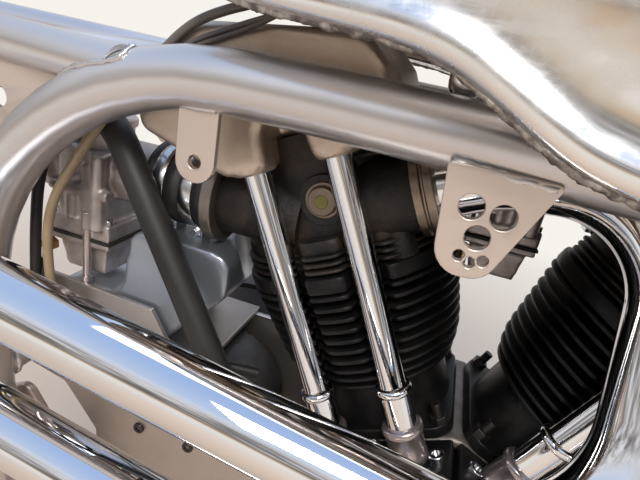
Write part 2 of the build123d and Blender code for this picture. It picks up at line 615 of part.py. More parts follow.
# Breather hose from the timing chest up past the carburettor
hose = swept(
    [
        HOSE_START,
        HOSE_TURN,
        (CRANK_X - 258, -72, 297),
        (CRANK_X - 345, -64, 297),
    ],
    [60, 60],
    HOSE_R,
)
keep("breather_hose", hose)
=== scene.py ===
import bpy
import bmesh
from math import acos, asin, atan2, cos, hypot, pi, radians, sin, tan
from mathutils import Matrix, Vector, noise


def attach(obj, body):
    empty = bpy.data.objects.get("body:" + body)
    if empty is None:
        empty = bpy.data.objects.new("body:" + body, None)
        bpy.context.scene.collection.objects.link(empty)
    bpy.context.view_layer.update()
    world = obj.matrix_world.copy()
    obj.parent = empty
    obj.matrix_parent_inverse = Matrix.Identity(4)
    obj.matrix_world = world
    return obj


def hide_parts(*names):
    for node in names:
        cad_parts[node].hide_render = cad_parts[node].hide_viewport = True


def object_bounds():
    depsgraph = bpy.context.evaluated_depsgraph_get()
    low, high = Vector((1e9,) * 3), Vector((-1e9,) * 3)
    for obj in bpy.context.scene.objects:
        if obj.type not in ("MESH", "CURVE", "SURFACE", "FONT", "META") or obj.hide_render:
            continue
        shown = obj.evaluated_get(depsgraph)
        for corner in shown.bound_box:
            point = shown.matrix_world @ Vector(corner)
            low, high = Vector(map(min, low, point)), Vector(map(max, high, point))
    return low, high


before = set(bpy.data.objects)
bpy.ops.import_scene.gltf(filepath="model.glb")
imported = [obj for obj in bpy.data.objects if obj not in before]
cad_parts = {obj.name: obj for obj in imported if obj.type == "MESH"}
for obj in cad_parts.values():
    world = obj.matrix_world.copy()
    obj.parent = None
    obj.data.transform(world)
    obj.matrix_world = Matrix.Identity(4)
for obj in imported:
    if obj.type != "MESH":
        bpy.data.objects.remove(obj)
solid_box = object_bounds()

# Frame loops: one bent steel tube a side, which is top rail, rear bend, upright, floor rail and
# down tube in one. Both are painted satin silver-grey. All pieces are given in millimetres, with
# the crankshaft's centre at height 0.
CRANK_X = 300.0
RAIL_R = 15.9
RAIL_Z = 322.0
REAR_RAIL_Z = RAIL_Z + 2
UPRIGHT_X = CRANK_X - 327.0
FLOOR_Z = -151.0
REAR_RAIL_Y = 104.0
FRONT_RAIL_Y = 122.0
REAR_BEND_R = 167.0
RAKE = radians(26.0)
HEAD_LOW = Vector((680.0, 0.0, 322.0))
HEAD_AXIS = Vector((-sin(RAKE), 0.0, cos(RAKE)))
TO_METRES = 0.001


def rgba(colour):
    """A colour with its fourth value. A number is a grey, and a Tone stays as it is."""
    if isinstance(colour, (int, float)):
        colour = (colour, colour, colour)
    return (*colour, 1.0) if isinstance(colour, tuple) else colour


class Tone:
    """A socket of a finish's node tree, on which Python's operators add Math nodes."""

    def __init__(self, tree, socket=None):
        self.tree = tree
        self.socket = socket

    def plug(self, node, sockets):
        for key, value in sockets.items():
            if isinstance(value, Tone):
                self.tree.links.new(value.socket, node.inputs[key])
            else:
                node.inputs[key].default_value = value

    def node(self, kind, sockets, settings=(), out=0):
        made = self.tree.nodes.new("ShaderNode" + kind)
        for key, value in dict(settings).items():
            if key == "stops":
                ramp = made.color_ramp.elements
                while len(ramp) < len(value):
                    ramp.new(0.5)
                for stop, (place, colour) in zip(ramp, value):
                    stop.position = place
                    stop.color = rgba(colour)
            else:
                setattr(made, key, value)
        self.plug(made, sockets)
        return Tone(self.tree, made.outputs[out])

    def math(self, operation, first, second=0.0):
        return self.node("Math", {0: first, 1: second}, {"operation": operation})

    def __add__(self, other):
        return self.math("ADD", self, other)

    def __mul__(self, other):
        return self.math("MULTIPLY", self, other)

    __radd__ = __add__
    __rmul__ = __mul__

    def noise(self, place, scale, detail=3.0, soft=0.55, stretch=None):
        if stretch:
            place = self.node("Mapping", {"Vector": place, "Scale": stretch})
        sockets = {"Vector": place, "Scale": scale, "Detail": detail, "Roughness": soft}
        return self.node("TexNoise", sockets)

    def ramp(self, value, stops):
        return self.node("ValToRGB", {0: value}, {"stops": stops})

    def patches(self, place, scale, detail, band, soft=0.55, stretch=None):
        """Noise drawn out between two levels, so that it stands in patches."""
        cloud = self.noise(place, scale, detail, soft, stretch)
        return self.ramp(cloud, [(band[0], 0.0), (band[1], 1.0)])

    def blend(self, mask, low, high):
        return self.node("Mix", {0: mask, 6: rgba(low), 7: rgba(high)}, {"data_type": "RGBA"}, out=2)


def finish(name, metallic, base, roughness, bump=None, coat=0.0, coat_roughness=0.1, shine=0.5):
    """A material whose colour, roughness and bump are values or functions of a place."""
    material = bpy.data.materials.new(name)
    material.use_nodes = True
    tone = Tone(material.node_tree)
    place = tone.node("TexCoord", {}, out=3)
    sockets = {
        "Metallic": metallic,
        "Coat Weight": coat,
        "Coat Roughness": coat_roughness,
        "Specular IOR Level": shine,
        "Base Color": base(tone, place) if callable(base) else rgba(base),
        "Roughness": roughness(tone, place) if callable(roughness) else roughness,
    }
    if bump:
        height, strength, distance = bump(tone, place)
        bumped = {"Height": height, "Strength": strength, "Distance": distance}
        sockets["Normal"] = tone.node("Bump", bumped)
    tone.plug(material.node_tree.nodes["Principled BSDF"], sockets)
    return material


def mottled(low, high, scale, detail, band=None, soft=0.55):
    """A colour that wanders between two, in clouds or, with a band of levels, in patches."""
    return lambda tone, place: tone.blend(
        tone.patches(place, scale, detail, band, soft) if band else tone.noise(place, scale, detail),
        low,
        high,
    )


def worn(least, spread, scale, detail=3.0):
    """A roughness that wanders upwards from its least."""
    return lambda tone, place: least + spread * tone.noise(place, scale, detail)


def grain(strength, distance, scale, detail=3.0, stretch=None):
    """A fine bump. A stretch draws it out into brush marks."""
    return lambda tone, place: (tone.noise(place, scale, detail, stretch=stretch), strength, distance)


silver_paint = finish(
    "silver_frame_paint",
    0.85,
    mottled((0.62, 0.60, 0.60), (0.68, 0.655, 0.65), 8, 3, band=(0.35, 0.65)),
    worn(0.26, 0.08, 16),
    grain(0.03, 0.0003, 700, 2),
    coat=0.12,
    coat_roughness=0.3,
)


def placed(name, data):
    made = bpy.data.objects.new(name, data)
    bpy.context.scene.collection.objects.link(made)
    return made


def as_mesh(name, shape):
    mesh = bpy.data.meshes.new(name)
    shape.to_mesh(mesh)
    shape.free()
    return mesh


def settle(name, shape, material, slot, stands_for=None, body="frame_unit", edge=0.0, crease=34):
    """Turns a shape in millimetres into a finished piece on its body."""
    mesh = as_mesh(name, shape) if isinstance(shape, bmesh.types.BMesh) else shape
    mesh.name = name
    mesh.transform(Matrix.Scale(TO_METRES, 4))
    mesh.materials.append(material)
    mesh.shade_smooth()
    if not edge:
        mesh.set_sharp_from_angle(angle=radians(crease))
    piece = placed(name, mesh)
    if edge:
        rounding = piece.modifiers.new("edge", "BEVEL")
        rounding.width = edge * TO_METRES
        rounding.segments = 2
        rounding.limit_method = "ANGLE"
        rounding.angle_limit = radians(crease)
        rounding.harden_normals = True
    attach(piece, body)
    if stands_for:
        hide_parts(stands_for)
    return piece


def bent_line(points, radii, closed=False):
    """A curve through straight runs whose corners are true arcs."""
    spots = [Vector(point) for point in points]
    knots = []
    count = len(spots)
    for at, corner in enumerate(spots):
        if not closed and at in (0, count - 1):
            knots.append((corner, None, None))
            continue
        back = (spots[at - 1] - corner).normalized()
        ahead = (spots[(at + 1) % count] - corner).normalized()
        turn = pi - back.angle(ahead)
        radius = radii[at if closed else at - 1]
        reach = radius * tan(turn / 2)
        lever = reach - radius * 4 / 3 * tan(turn / 4)
        knots.append((corner + back * reach, None, corner + back * lever))
        knots.append((corner + ahead * reach, corner + ahead * lever, None))
    line = bpy.data.curves.new("line", "CURVE")
    spline = line.splines.new("BEZIER")
    spline.bezier_points.add(len(knots) - 1)
    spline.use_cyclic_u = closed
    for at, (spot, left, right) in enumerate(knots):
        knot = spline.bezier_points[at]
        knot.handle_left_type = knot.handle_right_type = "FREE"
        knot.co = spot
        before = knots[at - 1][0] if at or closed else spot
        after = knots[(at + 1) % len(knots)][0] if at + 1 < len(knots) or closed else spot
        knot.handle_left = left if left else spot.lerp(before, 0.33)
        knot.handle_right = right if right else spot.lerp(after, 0.33)
    return line


def curve_mesh(line):
    holder = bpy.data.objects.new("line", line)
    mesh = bpy.data.meshes.new_from_object(holder)
    bpy.data.objects.remove(holder)
    shape = bmesh.new()
    shape.from_mesh(mesh)
    bpy.data.meshes.remove(mesh)
    bmesh.ops.remove_doubles(shape, verts=shape.verts, dist=0.001)
    bmesh.ops.recalc_face_normals(shape, faces=shape.faces)
    return shape


def swept(line, radius, around, along, capped=True):
    """A round section drawn along a curve."""
    line.dimensions = "3D"
    line.resolution_u = along
    line.bevel_depth = radius
    line.bevel_resolution = around
    line.use_fill_caps = capped
    return curve_mesh(line)


def mirrored(shape):
    """The same shape on the frame's other side."""
    other = shape.copy()
    bmesh.ops.transform(other, matrix=Matrix.Diagonal((1, -1, 1, 1)), verts=other.verts)
    bmesh.ops.reverse_faces(other, faces=other.faces)
    return other


rail_top = HEAD_LOW + HEAD_AXIS * 128
rail_foot = HEAD_LOW + HEAD_AXIS * 34
loop_route = [
    (rail_top.x - 14, -16.0, rail_top.z - 6),
    (CRANK_X + 150, -FRONT_RAIL_Y, RAIL_Z - 4),
    (CRANK_X - 118, -REAR_RAIL_Y, REAR_RAIL_Z),
    (UPRIGHT_X, -REAR_RAIL_Y, REAR_RAIL_Z),
    (UPRIGHT_X, -REAR_RAIL_Y, FLOOR_Z),
    (CRANK_X + 185, -REAR_RAIL_Y, FLOOR_Z),
    (rail_foot.x - 8, -17.0, rail_foot.z - 18),
]
frame_loop = swept(bent_line(loop_route, [90, 400, REAR_BEND_R, 72, 110]), RAIL_R, 14, 12)
settle("bent_loop_left", mirrored(frame_loop), silver_paint, "frame_paint", "frame_loop_left")
settle("bent_loop_right", frame_loop, silver_paint, "frame_paint", "frame_loop_right")

# Tabs and drilled plates: flat steel, cut and drilled by hand, then brazed under the rails. The
# tab has one hole and the lightened plate six. Both wear the frame's paint, given a warmer,
# pinkish tone as painted sunlight.
SIDEWAYS = Matrix(((1, 0, 0, 0), (0, 0, -1, 0), (0, 1, 0, 0), (0, 0, 0, 1)))


def cut_out(flat, thickness, edge, rounds):
    """A plate of even thickness from a flat curve, its edges rounded."""
    flat.dimensions = "2D"
    flat.fill_mode = "BOTH"
    flat.extrude = thickness / 2 - edge
    flat.bevel_depth = edge
    flat.bevel_resolution = rounds
    flat.offset = -edge
    return curve_mesh(flat)


def plate(outline, thickness, edge, radii, holes=()):
    """A flat plate with round corners and holes, centred on the X-Y plane."""
    flat = bent_line([(x, y, 0) for x, y in outline], radii, closed=True)
    for hole_x, hole_y, hole_r in holes:
        rim = flat.splines.new("BEZIER")
        rim.bezier_points.add(3)
        rim.use_cyclic_u = True
        for knot, (across, up) in zip(rim.bezier_points, ((1, 0), (0, -1), (-1, 0), (0, 1))):
            knot.co = (hole_x + across * hole_r, hole_y + up * hole_r, 0)
            knot.handle_left_type = knot.handle_right_type = "AUTO"
    flat.resolution_u = 6
    return cut_out(flat, thickness, edge, 2)


def moved(shape, matrix):
    bmesh.ops.transform(shape, matrix=matrix, verts=shape.verts)
    return shape


def shifted(shape, x=0, y=0, z=0):
    return moved(shape, Matrix.Translation((x, y, z)))


def side_plate(outline, y, edge, radii, holes=()):
    """A plate whose outline is given as x and z, standing between two y values."""
    shape = plate(outline, abs(y[1] - y[0]), edge, radii, holes)
    return moved(shape, Matrix.Translation((0, sum(y) / 2, 0)) @ SIDEWAYS)


def joined(shapes):
    whole = bmesh.new()
    for shape in shapes:
        mesh = as_mesh("part", shape)
        whole.from_mesh(mesh)
        bpy.data.meshes.remove(mesh)
    return whole


def both_sides(name, shape, material, slot, stands_for=None, **more):
    return settle(name, joined([shape, mirrored(shape)]), material, slot, stands_for, **more)


TAB_X = CRANK_X - 173.0
TAB_HALF = 11
LARGE_HOLE_R = 5.3
SMALL_HOLE_R = 2.45
# The frame's paint in a warmer, pinkish tone: painted sunlight on the plates that face the light.
sunlit_plate_paint = finish(
    "silver_paint_warmed_as_sunlight",
    0.8,
    mottled((0.62, 0.53, 0.475), (0.70, 0.61, 0.55), 14, 4),
    worn(0.33, 0.08, 20),
    grain(0.03, 0.0003, 700, 2),
)
tab = side_plate(
    [(TAB_X + x, z) for x, z in ((-TAB_HALF, 272), (TAB_HALF, 272), (TAB_HALF, 316), (-TAB_HALF, 316))],
    (-111, -106.8),
    0.7,
    [10.9, 10.9, 1, 1],
    [(TAB_X, 283, 3.6)],
)
both_sides("rail_tab_pair", tab, sunlit_plate_paint, "frame_paint", "rail_tabs")

drilled = side_plate(
    [(CRANK_X + x, z) for x, z in ((-52, 314), (-47.4, 265.6), (-25.2, 267.6), (-6, 314))],
    (-126.2, -122),
    0.7,
    [2, 13, 10.5, 2],
    [(CRANK_X - x, z, LARGE_HOLE_R) for x, z in ((38.2, 297.6), (25.0, 296.1), (32.6, 285.4))]
    + [(CRANK_X - x, z, SMALL_HOLE_R) for x, z in ((37.7, 276.2), (32.8, 274.2), (27.8, 276.2))],
)
both_sides("lightened_plate_pair", drilled, sunlit_plate_paint, "frame_paint", "drilled_plates")

# Barrels: cast iron in satin black heat paint, bolted down through a square foot. Their fins get
# wider upwards, and each is notched round the two pushrod tubes on the right side, which leaves a
# rounded tongue between them.
SIDES = ("rear", "front")
HALF_VEE = radians(25.0)
DECK_W = 118.0
BARREL_TOP_W = 246.0
BARREL_R = 49
FOOT_HALF = 52
RIM_W = 241
FIN_R = 75
FIN_THICKNESS = 3.0
FIN_GROWTH = 1.3
FIN_COUNT = 10
FIN_FIRST_W = 162.7
FIN_PITCH = 7.8
FIN_SPACING = 2.4
FIN_SOFTENINGS = 5
TUBE_V = -68.5
TUBE_U = 25.25
NOTCH_R = 12.4


def cylinder_frame(side):
    """A cylinder's own axes: u is forwards, v to the left and w up the bore."""
    lean = HALF_VEE if side == "front" else -HALF_VEE
    return Matrix.Translation((CRANK_X, 0, 0)) @ Matrix.Rotation(lean, 4, "Y")


def in_cylinder(shape, side):
    return moved(shape, cylinder_frame(side))


def arc_spots(x, y, radius, start, end, count):
    """Places along an arc, both its ends among them."""
    turns = [start + (end - start) * k / count for k in range(count + 1)]
    return [(x + radius * cos(turn), y + radius * sin(turn)) for turn in turns]


def fin_outline(radius, notch=NOTCH_R):
    """A round fin with two notches for the pushrod tubes, its corners softened."""
    reach = hypot(TUBE_U, TUBE_V)
    if radius < reach - notch + 0.5:
        return arc_spots(0, 0, radius, 0, 2 * pi, 160)[:-1]
    spread = acos((reach ** 2 + radius ** 2 - notch ** 2) / (2 * reach * radius))
    first_tube, last_tube = atan2(TUBE_V, -TUBE_U), atan2(TUBE_V, TUBE_U)
    spots = []
    for start, end, tube_u in (
        (first_tube + spread, last_tube - spread, TUBE_U),
        (last_tube + spread, first_tube - spread + 2 * pi, -TUBE_U),
    ):
        spots += arc_spots(0, 0, radius, start, end, max(3, round(radius * (end - start) / FIN_SPACING)))
        past = end + 2 * spread
        begin, stop = [
            atan2(radius * sin(turn) - TUBE_V, radius * cos(turn) - tube_u) for turn in (end, past)
        ]
        if stop > begin:
            stop -= 2 * pi
        count = max(6, round(notch * (begin - stop) / FIN_SPACING))
        spots += arc_spots(tube_u, TUBE_V, notch, begin, stop, count)[1:-1]
    for _ in range(FIN_SOFTENINGS):
        spots = [
            ((back[0] + 2 * here[0] + ahead[0]) / 4, (back[1] + 2 * here[1] + ahead[1]) / 4)
            for back, here, ahead in zip(spots[-1:] + spots[:-1], spots, spots[1:] + spots[:1])
        ]
    return spots


def point_line(kind, points, closed):
    """A curve of many plain points."""
    line = bpy.data.curves.new("line", "CURVE")
    spline = line.splines.new(kind)
    spline.points.add(len(points) - 1)
    for knot, spot in zip(spline.points, points):
        knot.co = (*spot, 1)
    spline.use_cyclic_u = closed
    return line


def slab(outline, thickness, edge, height):
    """A plate from an outline of many points, its middle at a height."""
    flat = point_line("POLY", [(x, y, 0) for x, y in outline], closed=True)
    return shifted(cut_out(flat, thickness, edge, 1), z=height)


def rod(start, end, radius, around=40, top=None):
    """A round or, with few sides, an angular bar between two places."""
    start, end = Vector(start), Vector(end)
    run = end - start
    shape = bmesh.new()
    bmesh.ops.create_cone(
        shape, cap_ends=True, segments=around, radius1=radius, radius2=top or radius, depth=run.length
    )
    turn = run.to_track_quat("Z", "Y").to_matrix().to_4x4()
    return moved(shape, Matrix.Translation((start + end) / 2) @ turn)


black_iron = finish(
    "black_heat_paint",
    0.0,
    mottled((0.006, 0.006, 0.0065), (0.020, 0.018, 0.016), 40, 5, band=(0.45, 0.75)),
    worn(0.30, 0.2, 60, 4),
    grain(0.22, 0.0008, 520),
    shine=0.28,
)
for side in SIDES:
    parts = [rod((0, 0, DECK_W + 8), (0, 0, BARREL_TOP_W), BARREL_R, 72)]
    for step in range(FIN_COUNT):
        tuck = 0.55 * max(0, 3 - step) ** 2
        radius = FIN_R - FIN_GROWTH * (FIN_COUNT - 1 - step) - tuck
        parts.append(slab(fin_outline(radius), FIN_THICKNESS, 1.25, FIN_FIRST_W + step * FIN_PITCH))
    parts.append(slab(fin_outline(FIN_R), 10.0, 1.6, RIM_W))
    corners = [(FOOT_HALF * u, FOOT_HALF * v) for u, v in ((-1, -1), (1, -1), (1, 1), (-1, 1))]
    parts.append(shifted(plate(corners, 8, 1.0, [14] * 4), z=DECK_W + 4))
    barrel = in_cylinder(joined(parts), side)
    settle(f"finned_barrel_{side}", barrel, black_iron, "black_iron", f"barrel_{side}")

# Heads: cast iron in the same black paint, stained by heat and held down by long bolts. Three thin
# fins stand at the joint, then a smooth band, then deep fins and the ports. The spark plug sits in
# a recess between the pushrod tubes.
HEAD_TOP_W = 330.0
HEAD_R = 59
JOINT_FIN_W = 249
JOINT_FIN_PITCH = 4.5
BAND_W = 263.5
DEEP_FIN_W = 278.5
DEEP_FIN_CUT_V = -52
PLUG_U = 8.0
PLUG_W = 290
PORT = Vector((66, -42, 282))
HEAD_BOLTS = ((44, -46), (-44, 46), (44, 46))
INLET = {"rear": (110.0, -42.0, 248.0), "front": (388.0, 42.0, 295.0)}
rusty_steel = finish(
    "aged_steel",
    0.7,
    mottled((0.16, 0.13, 0.11), (0.20, 0.10, 0.055), 70, 6, band=(0.4, 0.62), soft=0.7),
    worn(0.45, 0.25, 90, 4),
    grain(0.4, 0.0008, 260, 5),
)
weathered_alloy = finish(
    "weathered_alloy",
    0.8,
    mottled((0.20, 0.165, 0.14), (0.38, 0.335, 0.295), 60, 5),
    worn(0.30, 0.2, 70, 4),
    grain(0.2, 0.0006, 300),
)
plug_centre = finish("plug_centre", 0.1, mottled((0.10, 0.09, 0.02), (0.20, 0.18, 0.045), 220, 3), 0.5)
plug_steel = finish(
    "browned_plug_body",
    0.75,
    mottled((0.11, 0.08, 0.06), (0.28, 0.225, 0.18), 80, 5),
    worn(0.30, 0.2, 70, 4),
    grain(0.2, 0.0006, 300),
)
head_iron = finish(
    "stained_black_iron",
    0.0,
    mottled((0.008, 0.0072, 0.007), (0.048, 0.034, 0.025), 30, 7, band=(0.42, 0.66), soft=0.65),
    worn(0.32, 0.3, 45, 5),
    lambda t, p: (0.5 * t.noise(p, 60) + 0.5 * t.noise(p, 330, 5, 0.7), 0.5, 0.0022),
    shine=0.35,
)


def plug_step(near, far, radius, around, top):
    """A step of the spark plug, between two v values."""
    return rod((PLUG_U, near, PLUG_W), (PLUG_U, far, PLUG_W), radius, around, top)


for side, (x, y, z) in INLET.items():
    parts = [rod((0, 0, BARREL_TOP_W), (0, 0, HEAD_TOP_W), HEAD_R, 72)]
    parts += [slab(fin_outline(72.5), 2.2, 0.9, JOINT_FIN_W + step * JOINT_FIN_PITCH) for step in range(3)]
    parts.append(slab(fin_outline(70), 9.5, 2.4, BAND_W))
    deep_fin = [(u, max(v, DEEP_FIN_CUT_V)) for u, v in fin_outline(72, notch=13)]
    parts += [slab(deep_fin, FIN_THICKNESS, 1.2, DEEP_FIN_W + step * FIN_PITCH) for step in range(5)]
    parts.append(plug_step(-50, -61, 17, 48, 15))
    parts.append(rod((30, PORT.y, PORT.z), PORT, 24, 56))
    parts += [rod((u, v, 246), (u, v, 272), 10.5, 32, 9.5) for u, v in HEAD_BOLTS]
    head = [in_cylinder(joined(parts), side), rod((x + 62, y, z), (x, y, z), 23.5, 56)]
    settle(f"finned_head_{side}", joined(head), head_iron, "black_iron", f"head_{side}")
    flange = rod((x + 8, y, z), (x, y, z), 31, 56)
    settle(f"inlet_flange_{side}", flange, weathered_alloy, "cast_alloy", edge=1.2)
    plug = joined([plug_step(-58, -62.5, 11.5, 48, 11.0), plug_step(-62, -66, 9.4, 48, 8.4)])
    settle(f"plug_body_{side}", in_cylinder(plug, side), plug_steel, "cast_alloy", edge=0.7)
    tip = in_cylinder(plug_step(-65, -66.7, 4.6, 32, 3.8), side)
    settle(f"plug_centre_{side}", tip, plug_centre, "steel", edge=0.4)
    bolts = joined([rod((u, v, 271), (u, v, 288), 8.2, 6) for u, v in HEAD_BOLTS])
    settle(f"head_bolts_{side}", in_cylinder(bolts, side), rusty_steel, "steel", edge=0.8)

# Rocker boxes: bead-blasted aluminium castings, left bare and a little stained, bolted on top of
# the heads. Two bosses reach down from the outer skirt to hold the pushrod tubes, with an arch
# between them.
SHELL = [(-85, 356), (-78, 386), (-34, 402), (57, 370), (64, 352), (64, 330), (-62, 330)]
SKIRT = SHELL[:5] + [(60, 336), (40, 316), (14, 316), (11, 341), (-11, 341), (-14, 316), (-40, 316)]
cast_alloy = finish(
    "bead_blasted_casting",
    0.7,
    mottled((0.48, 0.385, 0.305), (0.68, 0.57, 0.475), 16, 6, band=(0.36, 0.66), soft=0.65),
    worn(0.30, 0.18, 34, 5),
    grain(0.2, 0.0006, 700, 2),
)


def cast(shapes, voxel, passes):
    """Melts overlapping shapes into one casting with soft edges and filled corners."""
    mesh = as_mesh("casting", joined(shapes))
    holder = placed("casting", mesh)
    melt = holder.modifiers.new("melt", "REMESH")
    melt.mode = "VOXEL"
    melt.voxel_size = voxel
    even = holder.modifiers.new("even", "SMOOTH")
    even.factor = 0.5
    even.iterations = passes
    depsgraph = bpy.context.evaluated_depsgraph_get()
    melted = bpy.data.meshes.new_from_object(holder.evaluated_get(depsgraph))
    bpy.data.objects.remove(holder)
    bpy.data.meshes.remove(mesh)
    return melted


for side in SIDES:
    parts = [
        side_plate(SHELL, (-54, 50), 4, [10, 12, 20, 12, 6, 4, 4]),
        side_plate(SKIRT, (-82, -50), 5, [10, 12, 20, 12, 6, 5, 6, 3, 8, 8, 3, 6]),
    ]
    parts += [rod((u, TUBE_V, 314), (u, TUBE_V, 352), 12.4, 48, 12.8) for u in (-TUBE_U, TUBE_U)]
    box = cast(parts, 1.5, 5)
    box.transform(cylinder_frame(side))
    settle(f"rocker_casting_{side}", box, cast_alloy, "cast_alloy", f"rocker_box_{side}", crease=180)

# Pushrod tubes: chromed telescopic steel. A slim upper tube slides into a wider one, which stands
# in a bare alloy foot on the tappet block. A rolled ring finishes each step.
TUBE_STEPS = [
    (0, 138), (10.0, 138), (10.0, 166.0), (11.0, 166.5), (11.4, 167.7), (11.4, 169.3), (11.0, 170.5),
    (10.2, 171.1), (8.6, 171.7), (8.4, 172.5), (8.4, 313.9), (0, 313.9),
]
FOOT_STEPS = [
    (0, 118), (12.0, 118), (12.6, 119.5), (12.6, 122), (12.0, 123.5), (12.0, 137.6), (12.8, 138.4),
    (13.2, 139.6), (13.2, 141.4), (12.8, 142.6), (11.6, 143.4), (10.4, 143.8), (0, 143.8),
]


def turned(profile, around=56):
    """A solid of revolution from radius and height pairs."""
    shape = bmesh.new()
    knots = [shape.verts.new((r, 0, h)) for r, h in profile]
    edges = [shape.edges.new(pair) for pair in zip(knots, knots[1:])]
    bmesh.ops.spin(
        shape, geom=knots + edges, cent=(0, 0, 0), axis=(0, 0, 1), angle=2 * pi, steps=around, use_merge=True
    )
    bmesh.ops.remove_doubles(shape, verts=shape.verts, dist=0.0005)
    bmesh.ops.recalc_face_normals(shape, faces=shape.faces)
    return shape


chrome = finish(
    "bright_chrome",
    1.0,
    (0.80, 0.80, 0.81),
    lambda t, p: 0.03 + 0.07 * t.patches(p, 30, 6, (0.5, 0.8), soft=0.7),
    grain(0.03, 0.004, 14, 2),
)
foot_alloy = finish(
    "dull_alloy_foot",
    0.85,
    mottled((0.38, 0.33, 0.325), (0.57, 0.50, 0.48), 60, 5),
    worn(0.20, 0.16, 50, 4),
    grain(0.15, 0.0006, 300),
)
for side in SIDES:
    for name, steps, metal, slot, node in (
        ("pushrod_tube_pair", TUBE_STEPS, chrome, "chrome", f"pushrod_tubes_{side}"),
        ("pushrod_feet", FOOT_STEPS, foot_alloy, "cast_alloy", None),
    ):
        pair = joined([shifted(turned(steps), u, TUBE_V) for u in (-TUBE_U, TUBE_U)])
        settle(f"{name}_{side}", in_cylinder(pair, side), metal, slot, node, crease=50)

# Exhaust pipes: chromed mild steel tube, mandrel bent and held in the heads by ring nuts. The rear
# head's pipe loops down in front of its cylinder, and both run back one above the other.
PIPE_R = 19.05
PIPE_WALL = 1.6
PIPE_Y = -152.0
LOOP_X = CRANK_X + 58
REAR_RUN = 528
FRONT_BEND_X = CRANK_X + 216
FRONT_RUN = 656
RISE = tan(radians(8.6))
FRONT_RISE = RISE * 1.15
# The ring nuts' dark brown is part heat browning and part painted shade for the shadow at the ports.
browned_and_shaded_steel = finish(
    "nut_browning_and_painted_shade",
    1.0,
    mottled((0.16, 0.12, 0.09), (0.42, 0.34, 0.27), 60, 5),
    worn(0.24, 0.2, 70, 4),
    grain(0.2, 0.0005, 300),
)
PIPE_RUNS = {
    "rear": [(LOOP_X, -76, 316), (LOOP_X, PIPE_Y, 150), (LOOP_X - REAR_RUN, PIPE_Y, 150 + RISE * REAR_RUN)],
    "front": [(FRONT_BEND_X, PIPE_Y, 28), (FRONT_BEND_X - FRONT_RUN, PIPE_Y, 28 + FRONT_RISE * FRONT_RUN)],
}
PORT_NUT = [
    (24.2, -6), (28, -6), (28, -1.4), (26.7, -0.8), (26.7, 0.4), (28, 1), (28, 5.4), (27.4, 6), (19.3, 6),
    (19.3, 0), (24.2, 0), (24.2, -6),
]


def port_frame(side):
    """The exhaust port's own axes, with the third one out of the head."""
    out = cylinder_frame(side).to_3x3() @ Vector((1, 0, 0))
    turn = out.to_track_quat("Z", "Y").to_matrix().to_4x4()
    return Matrix.Translation(cylinder_frame(side) @ PORT) @ turn


for side, lead, bends in (("rear", 42, [60, 58, 66]), ("front", 50, [52, 64])):
    route = [port_frame(side) @ Vector((0, 0, out)) for out in (-4, lead)] + PIPE_RUNS[side]
    pipe = swept(bent_line(route, bends), PIPE_R, 22, 20, capped=False)
    piece = settle(f"bent_pipe_{side}", pipe, chrome, "chrome", f"exhaust_pipe_{side}", crease=180)
    wall = piece.modifiers.new("wall", "SOLIDIFY")
    wall.thickness = PIPE_WALL * TO_METRES
    wall.offset = -1
for side, node in (("rear", "exhaust_nuts"), ("front", None)):
    # Ring nuts in steel that is heat-browned and also darkened as painted shade.
    nut = moved(turned(PORT_NUT, 60), port_frame(side))
    settle(f"port_nut_{side}", nut, browned_and_shaded_steel, "chrome", node, edge=0.5)

# Fuel tank: hand-formed aluminium, polished bright but a little wavy, resting on rubber pads. The
# skin is rolled under along its lower edge, where a rough hand-laid weld joins it to the floor and
# the tunnel over the rails.
polished_sheet = finish(
    "polished_tank_sheet",
    1.0,
    mottled((0.74, 0.735, 0.74), (0.86, 0.85, 0.83), 12, 5),
    lambda t, p: 0.13
    + 0.20 * t.patches(p, 17, 8, (0.42, 0.62), soft=0.72)
    + 0.10 * t.patches(p, 60, 5, (0.5, 0.62), soft=0.7, stretch=(0.25, 1, 1.6)),
    lambda t, p: (t.noise(p, 16, 3, 0.5) + 0.02 * t.noise(p, 420, 2, stretch=(1, 1, 0.15)), 0.16, 0.006),
)
weld_alloy = finish(
    "hand_laid_weld",
    0.9,
    mottled((0.15, 0.13, 0.12), (0.50, 0.46, 0.42), 180, 5, band=(0.42, 0.62)),
    worn(0.38, 0.25, 120, 4),
    grain(0.5, 0.0012, 340, 4),
)
# Stations along the tank: x from the crankshaft, seam height, seam half-width, greatest
# half-width, top height, tunnel height, tunnel half-width and shelf height.
TANK_STATIONS = (
    (-195, 379, 102, 108, 422, 383, 56, 381.0),
    (-190, 369.5, 116, 123, 440, 374.5, 80, 371.5),
    (-150, 357, 135, 142, 476, 374, 86, 358.5),
    (-110, 353.5, 146, 154, 498, 374, 86, 355.0),
    (-66, 350.5, 157, 164, 513.5, 374, 86, 352.0),
    (-42, 338, 159.5, 166, 519, 380, 88, 350.0),
    (-20, 325, 161, 167.5, 523, 396, 90, 350.0),
    (0, 318, 162, 168, 525, 399, 90, 350.0),
    (40, 314, 162, 168.5, 525.5, 399, 90, 350.0),
    (120, 317, 159, 166.5, 523.5, 399, 90, 350.0),
    (150, 320, 153.5, 161.5, 519.5, 399, 100, 350.0),
    (170, 323, 149, 157.5, 516.5, 400, 124, 350.0),
    (190, 327, 144, 153, 513, 402, 122, 350.0),
    (235, 347, 112, 124, 483, 408, 94, 352.0),
    (256, 371, 90, 100, 452, 425, 74, 375.0),
    (262, 379, 82, 91, 443, 425, 67, 383.0),
)
# Each end is closed by these panels of a half ring's points and their twins, and these lengthwise
# edges are kept crisp.
END_PANELS = (
    (3, 4, 5, 6), (2, 3, 6, 7), (2, 7, 8, 9), (1, 2, 9, 10), (1, 10, 11, 12), (0, 1, 12, 13), (0, 13, 14, 15)
)
END_CREASE = 0.55
CREASES = {1: 0.8, 2: 0.9, 3: 0.9, 4: 0.9, 5: 0.7}


